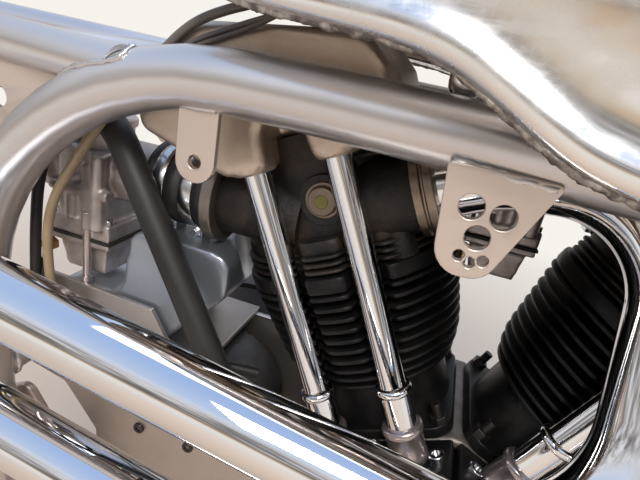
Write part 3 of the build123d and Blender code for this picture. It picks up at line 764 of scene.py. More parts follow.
def tank_ring(x, seam_z, seam_y, wide_y, top_z, tunnel_z, tunnel_y, shelf_z):
    """A ring from the tunnel out to the seam, over the rolled lip to the crown, and back."""
    x += CRANK_X
    inner = min(seam_y - 14, 144)
    rise = top_z - seam_z
    half = [
        (x, 0, tunnel_z), (x, tunnel_y, tunnel_z), (x, tunnel_y, shelf_z), (x, inner, shelf_z),
        (x, inner, seam_z + 1.5), (x, seam_y, seam_z), (x, seam_y + 4.5, seam_z + 3),
        (x, seam_y + 5.5, seam_z + 10), (x, seam_y + 1.0, seam_z + 16),
        (x, wide_y - 1.5, seam_z + 0.2 * rise), (x, wide_y + 1.5, seam_z + 0.4 * rise),
        (x, wide_y * 0.96, seam_z + 0.64 * rise), (x, wide_y * 0.83, seam_z + 0.84 * rise),
        (x, wide_y * 0.55, top_z - 8), (x, wide_y * 0.26, top_z - 1.5), (x, 0, top_z),
    ]
    return half + [(x, -y, z) for x, y, z in reversed(half[1:-1])]


tank = bmesh.new()
crisp = tank.edges.layers.float.new("crease_edge")
rings = [[tank.verts.new(spot) for spot in tank_ring(*station)] for station in TANK_STATIONS]
ring_edges = [[tank.edges.new(pair) for pair in zip(ring, ring[1:] + ring[:1])] for ring in rings]
for near, far in zip(ring_edges, ring_edges[1:]):
    bmesh.ops.bridge_loops(tank, edges=near + far)
for ring in (rings[0], rings[-1]):
    for corners in END_PANELS:
        tank.faces.new([ring[at] for at in corners])
        tank.faces.new([ring[-at % len(ring)] for at in reversed(corners)])
bmesh.ops.recalc_face_normals(tank, faces=tank.faces)
for edge in ring_edges[0] + ring_edges[-1]:
    edge[crisp] = END_CREASE
for at, amount in CREASES.items():
    for near, far in zip(rings, rings[1:]):
        for spot in (at, len(near) - at):
            tank.edges.get((near[spot], far[spot]))[crisp] = amount
piece = settle("fuel_tank_body", tank, polished_sheet, "tank_alloy", "fuel_tank", crease=180)
swell = piece.modifiers.new("swell", "SUBSURF")
swell.levels = swell.render_levels = 3


def smooth_line(points, closed=False):
    """A curve that runs smoothly past its points."""
    line = point_line("NURBS", points, closed)
    line.splines[0].order_u = 3
    line.splines[0].use_endpoint_u = not closed
    return line


def weld_bead(points, radius, ripple, closed=False):
    """A rough bead along a smooth line, with uneven ripples."""
    length = sum((Vector(b) - Vector(a)).length for a, b in zip(points, points[1:]))
    along = max(4, round(length / len(points) / 1.1))
    bead = swept(smooth_line(points, closed), radius, 3, along, capped=not closed)
    bead.normal_update()
    for vert in bead.verts:
        swirl = noise.noise(vert.co * 0.3) + 0.7 * noise.noise(vert.co * 0.9)
        vert.co += vert.normal * radius * ripple * swirl
    return bead


seam = [(x + CRANK_X, -(seam_y - 1.0), seam_z + 0.4) for x, seam_z, seam_y, *_ in TANK_STATIONS]
both_sides("tank_seam_weld", weld_bead(seam, 1.7, 0.45), weld_alloy, "tank_alloy", crease=180)
BOSS = [(0, 336.5), (3.5, 336.8), (6.2, 338.2), (7.8, 340.6), (8.2, 343.5), (8.2, 352.5), (0, 352.5)]
boss = shifted(turned(BOSS, 48), CRANK_X - 53, -92)
both_sides("tank_domed_bosses", boss, polished_sheet, "tank_alloy", crease=50)

# Filler: a turned aluminium neck, welded into the tank's top, with a flat lid that swings on a
# steel pin between two lugs. Under the lid, a black disc in the neck is painted shade for the dark
# inside of the mouth.
FILLER_X = CRANK_X + 60
HINGE_Y = 44
HINGE_Z = 538
NECK = [
    (0, 505), (36.5, 505), (36.5, 523), (34.6, 524.5), (34, 526), (34, 533.2), (33.2, 534), (29.6, 534),
    (28.8, 533.2), (28.8, 526.4), (0, 526.4),
]
MOUTH_SHADE_DISC = [(0, 525.6), (28.7, 525.6), (28.7, 528.4), (27.6, 527.2), (0, 526.8)]
LID = [(0, 534.3), (36.4, 534.3), (37, 535), (37, 540.6), (36, 541.8), (30, 542.4), (22, 542.9), (0, 543.3)]


def block(x, y, z):
    """A box between two values of x, two of y and two of z."""
    shape = bmesh.new()
    bmesh.ops.create_cube(shape, size=1.0)
    size = Matrix.Diagonal((x[1] - x[0], y[1] - y[0], z[1] - z[0], 1))
    return moved(shape, Matrix.Translation((sum(x) / 2, sum(y) / 2, sum(z) / 2)) @ size)


def hinge_rod(half, radius, around):
    return rod((FILLER_X - half, HINGE_Y, HINGE_Z), (FILLER_X + half, HINGE_Y, HINGE_Z), radius, around)


neck = [shifted(turned(NECK, 64), FILLER_X)]
neck += [block((FILLER_X + a, FILLER_X + a + 5), (28, 50), (512, 542)) for a in (-14, 9)]
settle("filler_neck", joined(neck), polished_sheet, "tank_alloy", edge=0.7)
# Painted shade: a black disc stands for the dark inside of the filler mouth.
settle("filler_mouth_painted_shade", shifted(turned(MOUTH_SHADE_DISC, 64), FILLER_X), black_iron, "black_iron", crease=60)
settle("hinge_pin", hinge_rod(15.5, 2.5, 24), rusty_steel, "steel", edge=0.4)
lid = [shifted(turned(LID, 72), FILLER_X), block((FILLER_X - 8, FILLER_X + 8), (30, HINGE_Y), (534.6, 541))]
settle("filler_lid", joined(lid), polished_sheet, "tank_alloy", "filler_cap", body="cap", edge=0.6)
settle("lid_knuckle", hinge_rod(8, 6, 40), polished_sheet, "tank_alloy", body="cap", edge=0.5)

# Carburettors: grey die-cast bodies with ribs, and a separate float bowl screwed on under a dark
# gasket. Each is clamped by two worm-drive bands to a ribbed rubber sleeve on the head's inlet.
die_cast = finish(
    "grey_die_casting",
    0.75,
    mottled((0.40, 0.34, 0.32), (0.60, 0.55, 0.53), 55, 6, band=(0.35, 0.7), soft=0.6),
    worn(0.36, 0.2, 70, 4),
    grain(0.3, 0.0006, 600),
)
black_rubber = finish(
    "black_rubber",
    0.0,
    mottled((0.010, 0.010, 0.011), (0.026, 0.025, 0.025), 45, 4),
    worn(0.42, 0.2, 60),
    grain(0.15, 0.0006, 500),
)
# Black for the bowl gaskets, and also painted shade for the dark inside of the carburettor bores.
gasket_black_and_bore_shade = finish("gasket_black_and_bore_shade", 0.0, (0.02, 0.018, 0.016), 0.8)
stainless = finish(
    "stainless_band",
    1.0,
    (0.62, 0.62, 0.63),
    worn(0.16, 0.14, 90, 4),
    grain(0.08, 0.0004, 300, 2, stretch=(12, 1, 1)),
)
brass = finish("aged_brass", 1.0, mottled((0.36, 0.22, 0.09), (0.62, 0.44, 0.18), 90, 5), 0.34)
CARB_TOP = [(0, 28), (19.5, 28), (20.5, 29), (20.5, 33), (19, 35), (9, 36.5), (8, 39), (0, 39)]
SLEEVE = [
    (21.2, -44), (24.6, -44), (26.2, -42.5), (26.2, -39.5), (24.4, -38), (24.4, -28), (26.4, -26.5),
    (26.4, -19.5), (24.4, -18), (24.4, -8), (26.2, -6.5), (26.2, -1.5), (25, 0), (21.2, 0), (21.2, -44),
]
BAND = [(24.4, -4.5), (25.6, -4.5), (25.9, -4.2), (25.9, 4.2), (25.6, 4.5), (24.4, 4.5), (24.4, -4.5)]


def spot_at(side, x, y, z):
    """A place given from the middle of the face of a head's inlet."""
    return tuple(middle + offset for middle, offset in zip(INLET[side], (x, y, z)))


def lump(side, *spans):
    """A box given in the same way."""
    return block(*[(middle + low, middle + high) for middle, (low, high) in zip(INLET[side], spans)])


def bar(side, start, end, radius, around=24):
    """A rod given in the same way."""
    return rod(spot_at(side, *start), spot_at(side, *end), radius, around)


for side, (face_x, bore_y, bore_z) in INLET.items():
    castings = [
        bar(side, (-24, 0, 0), (-122, 0, 0), 21, 56),
        bar(side, (-118, 0, 0), (-130, 0, 0), 26, 56),
        lump(side, (-110, -72), (-24, 22), (-34, 13)),
        lump(side, (-116, -67), (-25.5, 24), (-48, -36)),
        bar(side, (-91, 0, 0), (-91, 0, 30), 18.5, 56),
        bar(side, (-112, -27, -14), (-66, -27, -14), 4.2),
        bar(side, (-76, -26, -40), (-76, -26, 12), 5.6),
        bar(side, (-98, -24, -36), (-98, -24, -6), 4.4),
        bar(side, (-110, -20, 8), (-110, -20, 30), 5.0),
        lump(side, (-107, -101), (-27, -20), (-30, -18)),
        lump(side, (-88, -82), (-28, -20), (-46, 4)),
        lump(side, (-70, -62), (-14, 10), (-18, 16)),
    ]
    carburettor = cast(castings, 1.25, 3)
    settle(f"carburettor_body_{side}", carburettor, die_cast, "cast_alloy", f"carburettor_{side}", crease=180)
    # Painted shade: a black disc at the bell mouth stands for the dark inside of the bore.
    bore_shade_disc = bar(side, (-129.6, 0, 0), (-130.4, 0, 0), 17, 56)
    settle(f"painted_bore_shade_{side}", bore_shade_disc, gasket_black_and_bore_shade, "rubber")
    gasket = lump(side, (-117, -66.4), (-26.6, 24.6), (-50, -48.2))
    settle(f"bowl_gasket_{side}", gasket, gasket_black_and_bore_shade, "rubber")
    bowl = lump(side, (-112, -71), (-22, 20.5), (-76.5, -50))
    for vert in bowl.verts:
        if vert.co.z < bore_z - 60:
            vert.co.x += 5 if vert.co.x < face_x - 90 else -4
            vert.co.y += 3 if vert.co.y < bore_y else -3
    bowl = cast([bowl, lump(side, (-116, -67), (-26, 24), (-54.5, -50))], 1.25, 3)
    settle(f"float_bowl_{side}", bowl, die_cast, "cast_alloy", crease=180)
    if side == "rear":
        drain = joined([
            bar(side, (-84, -26, -28), (-84, -26, -82), 3.0),
            bar(side, (-84, -26, -28), (-84, -26, -40), 4.6),
            bar(side, (-84, -26, -76), (-84, -26, -82), 3.8),
        ])
        settle("drain_tube", drain, foot_alloy, "cast_alloy", edge=0.4)
    elbow = joined([
        bar(side, (-114, -24, -60), (-114, -31, -60), 5.2, 6),
        bar(side, (-114, -29, -56), (-114, -31, -71), 3.1, 20),
    ])
    settle(f"brass_elbow_{side}", elbow, brass, "steel", edge=0.4)
    corners = [(x, y) for x in (-112, -71) for y in (-21, 19.5)]
    screws = joined([bar(side, (x, y, -36), (x, y, -32.5), 3.4, 28) for x, y in corners])
    settle(f"bowl_screws_{side}", screws, stainless, "steel", edge=0.5)
    top = shifted(turned(CARB_TOP, 48), *spot_at(side, -91, 0, 0))
    settle(f"carburettor_top_{side}", top, die_cast, "cast_alloy", edge=0.5)

    lengthways = Matrix.Translation(INLET[side]) @ Matrix.Rotation(pi / 2, 4, "Y")
    sleeve = moved(turned(SLEEVE), lengthways)
    settle(f"rubber_sleeve_{side}", sleeve, black_rubber, "rubber", f"inlet_sleeve_{side}", crease=60)
    bands = []
    worms = []
    for band_x in (-33, -13):
        bands.append(moved(turned(BAND, 64), lengthways @ Matrix.Translation((0, 0, band_x))))
        worms.append(lump(side, (band_x - 5.5, band_x + 5.5), (-7, 7), (-32, -25)))
        worms.append(bar(side, (band_x, -9.5, -29.5), (band_x, 9, -29.5), 3.4, 6))
    settle(f"worm_bands_{side}", joined(bands), stainless, "steel", crease=50)
    settle(f"worm_housings_{side}", joined(worms), stainless, "steel", edge=0.7)

# Hoses and cables: a thick black breather hose rises past the rear carburettor, and thin black and
# tan fuel hoses and three sheathed cables run behind it. All are held at both ends, and none
# carries any print.
HOSE_R = 9.2
HOSE_START = (CRANK_X - 108, -84, 74)
HOSE_TURN = (CRANK_X - 132, -92, 108)
hose_rubber = finish(
    "hose_rubber",
    0.0,
    mottled((0.014, 0.0135, 0.0135), (0.030, 0.028, 0.027), 30, 5),
    worn(0.44, 0.14, 80, 4),
    grain(0.16, 0.0005, 420, 4),
)
tan_hose = finish(
    "tan_fuel_hose",
    0.0,
    mottled((0.30, 0.22, 0.13), (0.44, 0.34, 0.22), 60, 4),
    0.34,
    grain(0.1, 0.0005, 200),
)
cable_sheath = finish(
    "grey_cable_sheath", 0.0, mottled((0.10, 0.085, 0.075), (0.20, 0.175, 0.155), 90, 3), 0.38
)
hose_route = [HOSE_START, HOSE_TURN, (CRANK_X - 258, -72, 297), (CRANK_X - 345, -64, 297)]
breather = swept(bent_line(hose_route, [60, 60]), HOSE_R, 18, 16)
settle("thick_breather_hose", breather, hose_rubber, "rubber", "breather_hose")
start = Vector(HOSE_START)
lead = (Vector(HOSE_TURN) - start).normalized()
collar = joined([
    rod(start - lead * 6, start + lead * 3, 11.2, 48),
    rod(start - lead * 14, start - lead * 6, 10.4, 6),
])
settle("hose_union", collar, foot_alloy, "cast_alloy", edge=0.6)


def hose(name, points, radius, material):
    """A thin hose or cable that runs smoothly past its points."""
    return settle(name, swept(smooth_line(points), radius, 9, 10), material, "rubber")


hose("tan_fuel_line", [
    (56, -82, 298), (49, -86, 284), (41.2, -88, 270.6), (31.5, -88, 255.5), (19.4, -88, 234.8),
    (13.6, -88, 218), (11.7, -88, 200.9), (12.6, -88, 184), (14.1, -88, 168), (16.2, -87, 150),
    (24, -82, 118),
], 3.1, tan_hose)
hose("overflow_hose", [
    (4, -78, 262), (-1.5, -80, 240), (-4.5, -80, 215), (-6.5, -80, 185), (-8, -79, 150), (-6, -76, 112),
], 3.6, black_rubber)
hose("bowl_hose", [
    (-4, -73, 178), (-4.5, -75, 168), (0, -78, 152), (14, -82, 141), (36, -84, 137), (70, -84, 133),
    (104, -80, 134), (132, -70, 138), (160, -58, 132),
], 3.6, black_rubber)
hose("throttle_cable", [
    (19, -42, 286), (27, -48, 299), (42, -62, 311), (58, -76, 318), (75, -84.8, 324), (89, -85.5, 331.8),
    (97.6, -85.5, 341.4), (109, -85.5, 350.3), (123.7, -85.5, 356.9), (134, -83, 361), (144, -79, 366),
    (156, -75, 369), (168, -72, 369),
], 2.5, cable_sheath)
for name, drop, reach in (("choke_cable", 0.0, 0.0), ("second_choke_cable", 3.2, -4.0)):
    hose(name, [
        (27 + reach, -46, 286), (37, -52, 303 - drop), (52, -66, 314 - drop), (70, -79, 322 - drop),
        (86, -85.2, 329 - drop), (99.3, -85.5, 334.7 - drop), (109.9, -85.5, 341.4 - drop),
        (121.5, -85.5, 346.3 - drop), (134.7, -85.5, 352.3 - drop), (144.6, -84.2, 356.5 - drop / 2),
        (154, -80.5, 362), (166, -76, 367),
    ], 1.4, cable_sheath)

# Oil tank and its tray: a welded alloy tank behind the rear barrel, sprayed silver-blue and
# hollowed in front to clear the fins. It stands on a tray of folded alloy with a tall lip.
tank_blue = finish(
    "silver_blue_paint",
    0.75,
    mottled((0.34, 0.38, 0.44), (0.46, 0.50, 0.56), 14, 5, band=(0.4, 0.7)),
    worn(0.22, 0.18, 30, 5),
    grain(0.12, 0.002, 24),
    coat=0.3,
    coat_roughness=0.15,
)
plate_alloy = finish(
    "brushed_plate",
    0.85,
    mottled((0.42, 0.38, 0.35), (0.56, 0.52, 0.49), 22, 6),
    worn(0.30, 0.2, 50, 5),
    grain(0.12, 0.0004, 300, stretch=(1, 1, 12)),
)


def from_solid(node):
    """A merged copy of a CAD node in millimetres, for a finish that the plain node can't take."""
    shape = bmesh.new()
    shape.from_mesh(bpy.data.objects[node].data)
    bmesh.ops.scale(shape, vec=(1 / TO_METRES,) * 3, verts=shape.verts)
    bmesh.ops.remove_doubles(shape, verts=shape.verts, dist=0.01)
    bmesh.ops.dissolve_limit(shape, angle_limit=radians(2.0), verts=shape.verts, edges=shape.edges)
    bmesh.ops.recalc_face_normals(shape, faces=shape.faces)
    return shape


oil_tank = cast([from_solid("oil_tank")], 2.4, 4)
settle("oil_tank_shell", oil_tank, tank_blue, "oil_tank_paint", "oil_tank", crease=180)
tray = from_solid("oil_tank_tray")
settle("oil_tank_tray_sheet", tray, plate_alloy, "plate_alloy", "oil_tank_tray", edge=0.8)

# Crankcase and timing cover: sand-cast alloy halves bolted together round their joint, ribbed on
# the left. Socket screws hold the bead-blasted cover on the right round its edge, and bolts hold
# the tappet blocks down beside the barrels.
CASE_LUG_R = 104
COVER_SCREWS = (
    (-84, 44), (-78, 62), (-34, 84), (34, 84), (78, 62), (84, 44), (72, -18), (58, -68), (0, -70), (-58, -68),
    (-72, -18),
)
FACING_RIGHT = Matrix.Rotation(pi / 2, 4, "X")
dull_case = finish(
    "sand_cast_case",
    0.7,
    mottled((0.15, 0.13, 0.12), (0.34, 0.31, 0.28), 18, 7, band=(0.35, 0.7), soft=0.7),
    worn(0.38, 0.2, 30, 5),
    grain(0.3, 0.0008, 480, 4),
)
black_steel = finish(
    "blackened_screws",
    0.8,
    mottled((0.03, 0.03, 0.032), (0.09, 0.08, 0.075), 90, 4),
    0.36,
    grain(0.15, 0.0004, 500),
)


def across(x, z, near, far, radius, around=40):
    """A rod that runs across the frame, between two y values."""
    return rod((x, near, z), (x, far, z), radius, around)


def on_circle(x, z, radius, turns):
    """Places round a shaft, at turns in degrees."""
    return [(x + radius * cos(radians(turn)), z + radius * sin(radians(turn))) for turn in turns]


case = [from_solid("crankcase"), across(CRANK_X, 0, -2.5, 2.5, 115.5, 96)]
case += [across(x, z, -14, 14, 9.5, 32) for x, z in on_circle(CRANK_X, 0, CASE_LUG_R, range(200, 345, 24))]
for turn in range(0, 360, 45):
    rib = block((34, 100), (51, 55), (-2.5, 2.5))
    case.append(moved(rib, Matrix.Translation((CRANK_X, 0, 0)) @ Matrix.Rotation(-radians(turn), 4, "Y")))
case.append(across(CRANK_X, 0, 50, 56, 36, 64))
settle("crankcase_casting", cast(case, 2.6, 3), dull_case, "cast_alloy", "crankcase", crease=180)

cover = [from_solid("timing_cover"), across(CRANK_X, 20, -88, -92.5, 34, 64)]
cover += [across(CRANK_X + x, -34, -88, -91.5, 22, 48) for x in (-44, 44)]
cover += [across(CRANK_X + x, z, -70, -91, 6.2, 32) for x, z in COVER_SCREWS]
settle("timing_cover_casting", cast(cover, 1.9, 3), cast_alloy, "cast_alloy", "timing_cover", crease=180)


def socket_screw(radius, height):
    """The head of a socket screw, its socket sunk."""
    socket = radius * 0.52
    floor_z = height - 2.2
    return turned([
        (0, 0), (radius, 0), (radius, height - 0.5), (radius - 0.5, height), (socket, height),
        (socket, floor_z), (0, floor_z),
    ], 24)


def side_screw(x, y, z):
    """A socket screw that faces the right."""
    return moved(socket_screw(4.4, 4.5), Matrix.Translation((x, y, z)) @ FACING_RIGHT)


cover_screws = joined([side_screw(CRANK_X + x, -90.6, z) for x, z in COVER_SCREWS])
settle("cover_screws", cover_screws, black_steel, "steel", crease=40)
for side, away in (("rear", -1), ("front", 1)):
    node = f"tappet_block_{side}"
    settle(f"tappet_casting_{side}", from_solid(node), black_iron, "black_iron", node, edge=1.4)
    screws = joined([
        shifted(socket_screw(5.2, 5.0), away * u, v, 117.6)
        for u, v in ((44, -81), (44, -62), (0, -81), (0, -60), (-26, -84), (-43, -71))
    ])
    settle(f"tappet_screws_{side}", in_cylinder(screws, side), stainless, "steel", crease=40)
    nuts = []
    for u, v in ((-44, -44), (-44, 44), (44, -44), (44, 44)):
        nuts += [rod((u, v, 124), (u, v, 131), 6.0, 6), rod((u, v, 130), (u, v, 140), 3.4, 24)]
    settle(f"base_nuts_{side}", in_cylinder(joined(nuts), side), black_steel, "steel", edge=0.5)

# Gearbox: a separate four-speed box of cast alloy behind the engine, bolted between the engine
# plates, coloured near black as painted shade for the shadow it sits in. A round cover on its
# right side is held by six socket screws.
BOX_X = CRANK_X - 205.0
BOX_Z = 35.0
BOX_COVER_Z = BOX_Z - 20
BOX_LUG_R = 43
# Painted shade: the casting's near-black tone stands for the shadow it sits in behind the engine.
shade_darkened_case = finish(
    "near_black_casting_painted_shade",
    0.5,
    mottled((0.030, 0.027, 0.025), (0.10, 0.092, 0.085), 18, 7, band=(0.35, 0.7), soft=0.7),
    worn(0.32, 0.25, 30, 5),
    grain(0.3, 0.0008, 480, 4),
)
box_lugs = on_circle(BOX_X, BOX_COVER_Z, BOX_LUG_R, range(0, 360, 60))
box = [from_solid("gearbox"), across(BOX_X, BOX_COVER_Z, -60, -64.5, 32, 56)]
box += [across(x, z, -50, -63.5, 6.5, 28) for x, z in box_lugs]
settle("gearbox_casting", cast(box, 2.4, 3), shade_darkened_case, "cast_alloy", "gearbox", crease=180)
box_screws = joined([side_screw(x, -63.2, z) for x, z in box_lugs])
settle("gearbox_screws", box_screws, black_steel, "steel", crease=40)

# Belt drive: on the left an open toothed rubber belt turns the clutch drum from a steel pulley on
# the crankshaft's end. The output sprocket sits between the clutch and the gearbox.
BELT_PITCH = 8.0
BELT_Y = 93.0
BELT_W = 30.0
PULLEY_TEETH = 34
DRUM_TEETH = 60
TOOTH_TALL = 2.6
TOOTH_SHAPE = (0.0, 0.0, 0.15, 0.9, 0.9, 0.15)
CRANK_STUB = [
    (0, 52.3), (14, 52.3), (14, 86), (20, 88), (20, 92), (34, 96), (34, 118), (22, 124), (22, 126),
    (13.5, 127), (13.5, 134), (12.5, 135), (0, 135),
]
CLUTCH_PLATE = [
    (0, 48.3), (14, 48.3), (14, 96), (58, 98), (74, 100), (74, 118), (62, 120), (60, 127.5), (58.5, 129),
    (34, 129), (32, 126), (16, 126), (15, 129), (0, 129),
]
machined = finish(
    "machined_steel",
    1.0,
    mottled((0.40, 0.40, 0.41), (0.56, 0.56, 0.57), 40, 5),
    worn(0.24, 0.16, 60, 4),
    grain(0.06, 0.0003, 260, 2, stretch=(1, 14, 1)),
)
belt_rubber = finish(
    "belt_rubber",
    0.0,
    mottled((0.014, 0.014, 0.015), (0.035, 0.033, 0.032), 50, 4),
    0.5,
    grain(0.2, 0.0005, 400, stretch=(1, 8, 1)),
)


def on_shaft(shape, x, y, z):
    """Stands a piece made round the Z axis on a shaft that runs across the frame."""
    return moved(shape, Matrix.Translation((x, y, z)) @ Matrix.Rotation(-pi / 2, 4, "X"))


def pitch_radius(teeth):
    return teeth * BELT_PITCH / (2 * pi)


def toothed_rim(teeth, hollow):
    """A rim with round teeth for the belt between two plain cheeks."""
    radius = pitch_radius(teeth)
    outline = []
    for step in range(teeth * 6):
        turn = 2 * pi * step / (teeth * 6)
        reach = radius - TOOTH_TALL * TOOTH_SHAPE[step % 6]
        outline.append((reach * cos(turn), reach * sin(turn)))
    parts = [slab(outline, BELT_W - 4, 0.2, BELT_W / 2)]
    for low in (0.0, BELT_W - 2.0):
        parts.append(turned([(hollow, low), (radius, low), (radius, low + 2.0), (hollow, low + 2.0)], 96))
    return joined(parts)


pulley = on_shaft(toothed_rim(PULLEY_TEETH, 20), CRANK_X, BELT_Y, 0)
settle("pulley_rim", pulley, machined, "steel", "crank_pulley", body="crankshaft", crease=30)
stub = on_shaft(turned(CRANK_STUB), CRANK_X, 0, 0)
settle("crank_stub", stub, machined, "steel", body="crankshaft", edge=0.5)
nut = across(CRANK_X, 0, 124, 131, 19, 6)
settle("pulley_nut", nut, black_steel, "steel", body="crankshaft", edge=0.8)
drum = on_shaft(toothed_rim(DRUM_TEETH, 56), BOX_X, BELT_Y, BOX_Z)
settle("clutch_rim", drum, machined, "steel", "clutch_drum", body="clutch", crease=30)
clutch_plate = on_shaft(turned(CLUTCH_PLATE, 80), BOX_X, 0, BOX_Z)
settle("clutch_plate", clutch_plate, plate_alloy, "steel", body="clutch", edge=0.6)
cups = []
for x, z in on_circle(BOX_X, BOX_Z, 46, range(0, 360, 72)):
    cups += [across(x, z, 126, 132, 7.0, 32), across(x, z, 130, 135.5, 4.2, 6)]
settle("clutch_spring_cups", joined(cups), machined, "steel", body="clutch", edge=0.6)

BELT_POINTS = 320
BELT_SPACING = 2.5
INNER_GAP = 0.4
OUTER_GAP = 4.6
pulley_r = pitch_radius(PULLEY_TEETH)
drum_r = pitch_radius(DRUM_TEETH)
run = Vector((BOX_X - CRANK_X, BOX_Z))
lean = atan2(run.y, run.x)
spread = asin((drum_r - pulley_r) / run.length)


def belt_line(gap):
    """A closed line round both pulleys, outside them by a gap, its points shared out evenly."""
    spots = []
    for x, z, radius, start, sweep in (
        (CRANK_X, 0, pulley_r + gap, lean + pi / 2 + spread, pi - 2 * spread),
        (BOX_X, BOX_Z, drum_r + gap, lean - pi / 2 - spread, pi + 2 * spread),
    ):
        spots += arc_spots(x, z, radius, start, start + sweep, round(radius * sweep / BELT_SPACING))
    spots = [Vector(spot) for spot in spots]
    lengths = [0.0]
    for a, b in zip(spots, spots[1:] + spots[:1]):
        lengths.append(lengths[-1] + (b - a).length)
    made = []
    at = 0
    for step in range(BELT_POINTS):
        goal = lengths[-1] * step / BELT_POINTS
        while lengths[at + 1] < goal:
            at += 1
        share = (goal - lengths[at]) / (lengths[at + 1] - lengths[at])
        made.append(spots[at].lerp(spots[(at + 1) % len(spots)], share))
    return made


belt = bmesh.new()
belt_edges = []
for gap in (INNER_GAP, OUTER_GAP):
    knots = [belt.verts.new((x, BELT_Y + 1, z)) for x, z in belt_line(gap)]
    belt_edges += [belt.edges.new(pair) for pair in zip(knots, knots[1:] + knots[:1])]
flat_faces = bmesh.ops.bridge_loops(belt, edges=belt_edges)["faces"]
grown = bmesh.ops.extrude_face_region(belt, geom=flat_faces)["geom"]
far_side = [item for item in grown if isinstance(item, bmesh.types.BMVert)]
bmesh.ops.translate(belt, vec=(0, BELT_W - 2, 0), verts=far_side)
bmesh.ops.recalc_face_normals(belt, faces=belt.faces)
settle("toothed_belt", belt, belt_rubber, "rubber", "primary_belt", edge=0.4, crease=40)

teeth = []
for way in (1, -1):
    heading = lean + way * (pi / 2 + spread)
    out = Vector((cos(heading), sin(heading)))
    first = Vector((CRANK_X, 0)) + (pulley_r + INNER_GAP) * out
    last = Vector((BOX_X, BOX_Z)) + (drum_r + INNER_GAP) * out
    along = (last - first).normalized()
    inward = Vector((-out.x, 0, -out.y))
    forward = Vector((along.x, 0, along.y))
    side = inward.cross(forward)
    for step in range(1, int((last - first).length / BELT_PITCH) - 1):
        tooth = block((-1.9, 1.9), (BELT_Y + 1.4, BELT_Y + BELT_W - 1.4), (-0.6, 2.0))
        for vert in tooth.verts:
            if vert.co.z > 1:
                vert.co.x *= 0.6
        if side.y < 0:
            moved(tooth, Matrix.Diagonal((1, -1, 1, 1)))
            bmesh.ops.reverse_faces(tooth, faces=tooth.faces)
        spot = first + along * (BELT_PITCH * (step + 0.5))
        turn = Matrix((forward, side, inward)).transposed().to_4x4()
        teeth.append(moved(tooth, Matrix.Translation((spot.x, 0, spot.y)) @ turn))
settle("belt_teeth", joined(teeth), belt_rubber, "rubber", edge=0.3)
sprocket = from_solid("output_sprocket")
settle("chain_sprocket", sprocket, machined, "steel", "output_sprocket", body="sprocket", edge=0.5)

# Plates and cross tubes: cut alloy plates carry the crankcase and gearbox between the cross tubes.
# The frame's cross tubes, seat tubes, gussets, pivot plates and steering head are steel, brazed in
# with small smooth fillets. The tank rests on rubber pads.
SEAT_TUBE_R = 12.7
for end in ("rear_right", "rear_left", "front_right", "front_left"):
    node = f"engine_plate_{end}"
    settle(node + "_sheet", from_solid(node), plate_alloy, "plate_alloy", node, edge=0.9)
# The pivot plates and gussets take the plates' warmed paint, whose pinkish tone is painted sunlight.
for node, edge, paint in (
    ("pivot_plates", 0.9, sunlit_plate_paint),
    ("gussets", 0.8, sunlit_plate_paint),
    ("steering_head", 1.2, silver_paint),
    ("cross_tubes", 0.0, silver_paint),
    ("subframe_tubes", 0.0, silver_paint),
):
    settle(node + "_painted", from_solid(node), paint, "frame_paint", node, edge=edge)
settle("tank_pad_set", from_solid("tank_pads"), black_rubber, "rubber", "tank_pads", edge=0.8)


def ring_round(centre, axis, radius, count):
    """Places on a circle round an axis."""
    turn = Vector(axis).to_track_quat("Z", "Y").to_matrix()
    circle = arc_spots(0, 0, radius, 0, 2 * pi, count)[:-1]
    return [Vector(centre) + turn @ Vector((x, y, 0)) for x, y in circle]


def weld_ring(centre, axis, radius, bead):
    """A small brazed fillet round a tube's end."""
    return weld_bead(ring_round(centre, axis, radius, 24), bead, 0.25, closed=True)


fillets = [
    weld_ring((x, 14.2 - REAR_RAIL_Y, z), (0, 1, 0), 12.6, 2.6)
    for x, z in ((UPRIGHT_X + 66, FLOOR_Z), (CRANK_X + 125, FLOOR_Z), (UPRIGHT_X, 96.0))
]
joint = Vector((CRANK_X - 222, -REAR_RAIL_Y, RAIL_Z - 3))
seat_end = Vector((-250.0, -46.0, RAIL_Z + 8))
bend_middle = Vector((UPRIGHT_X + REAR_BEND_R, -REAR_RAIL_Y, REAR_RAIL_Z - REAR_BEND_R))
backwards = (seat_end - joint).normalized()


def in_bend(spot):
    """Whether a place is inside the tube of the rear bend."""
    x, y, z = spot - bend_middle
    return hypot(hypot(x, z) - REAR_BEND_R, y) < RAIL_R


saddle = ring_round(joint.lerp(seat_end, 0.4), backwards, SEAT_TUBE_R, 28)
for spot in saddle:
    while not in_bend(spot) and (spot - joint).length <= 200:
        spot -= backwards * 0.2
fillets.append(weld_bead(saddle, 1.3, 0.7, closed=True))
tab_foot = [(TAB_X - 10, -111.2, 310.6), (TAB_X, -111.4, 309.8), (TAB_X + 10, -111.2, 310.6)]
plate_foot = [(CRANK_X - 50, -123.6, 313.6), (CRANK_X - 30, -124.4, 312.2), (CRANK_X - 9, -124.8, 311.4)]
fillets += [weld_bead(tab_foot, 1.9, 0.2), weld_bead(plate_foot, 2.0, 0.4)]
for height in (30, 126):
    spot = HEAD_LOW + HEAD_AXIS * height
    fillets.append(weld_ring(spot + Vector((-26, -6, 0)), (-1, -0.35, 0), 15.0, 3.0))
both_sides("brazed_fillets", joined(fillets), silver_paint, "frame_paint", crease=180)

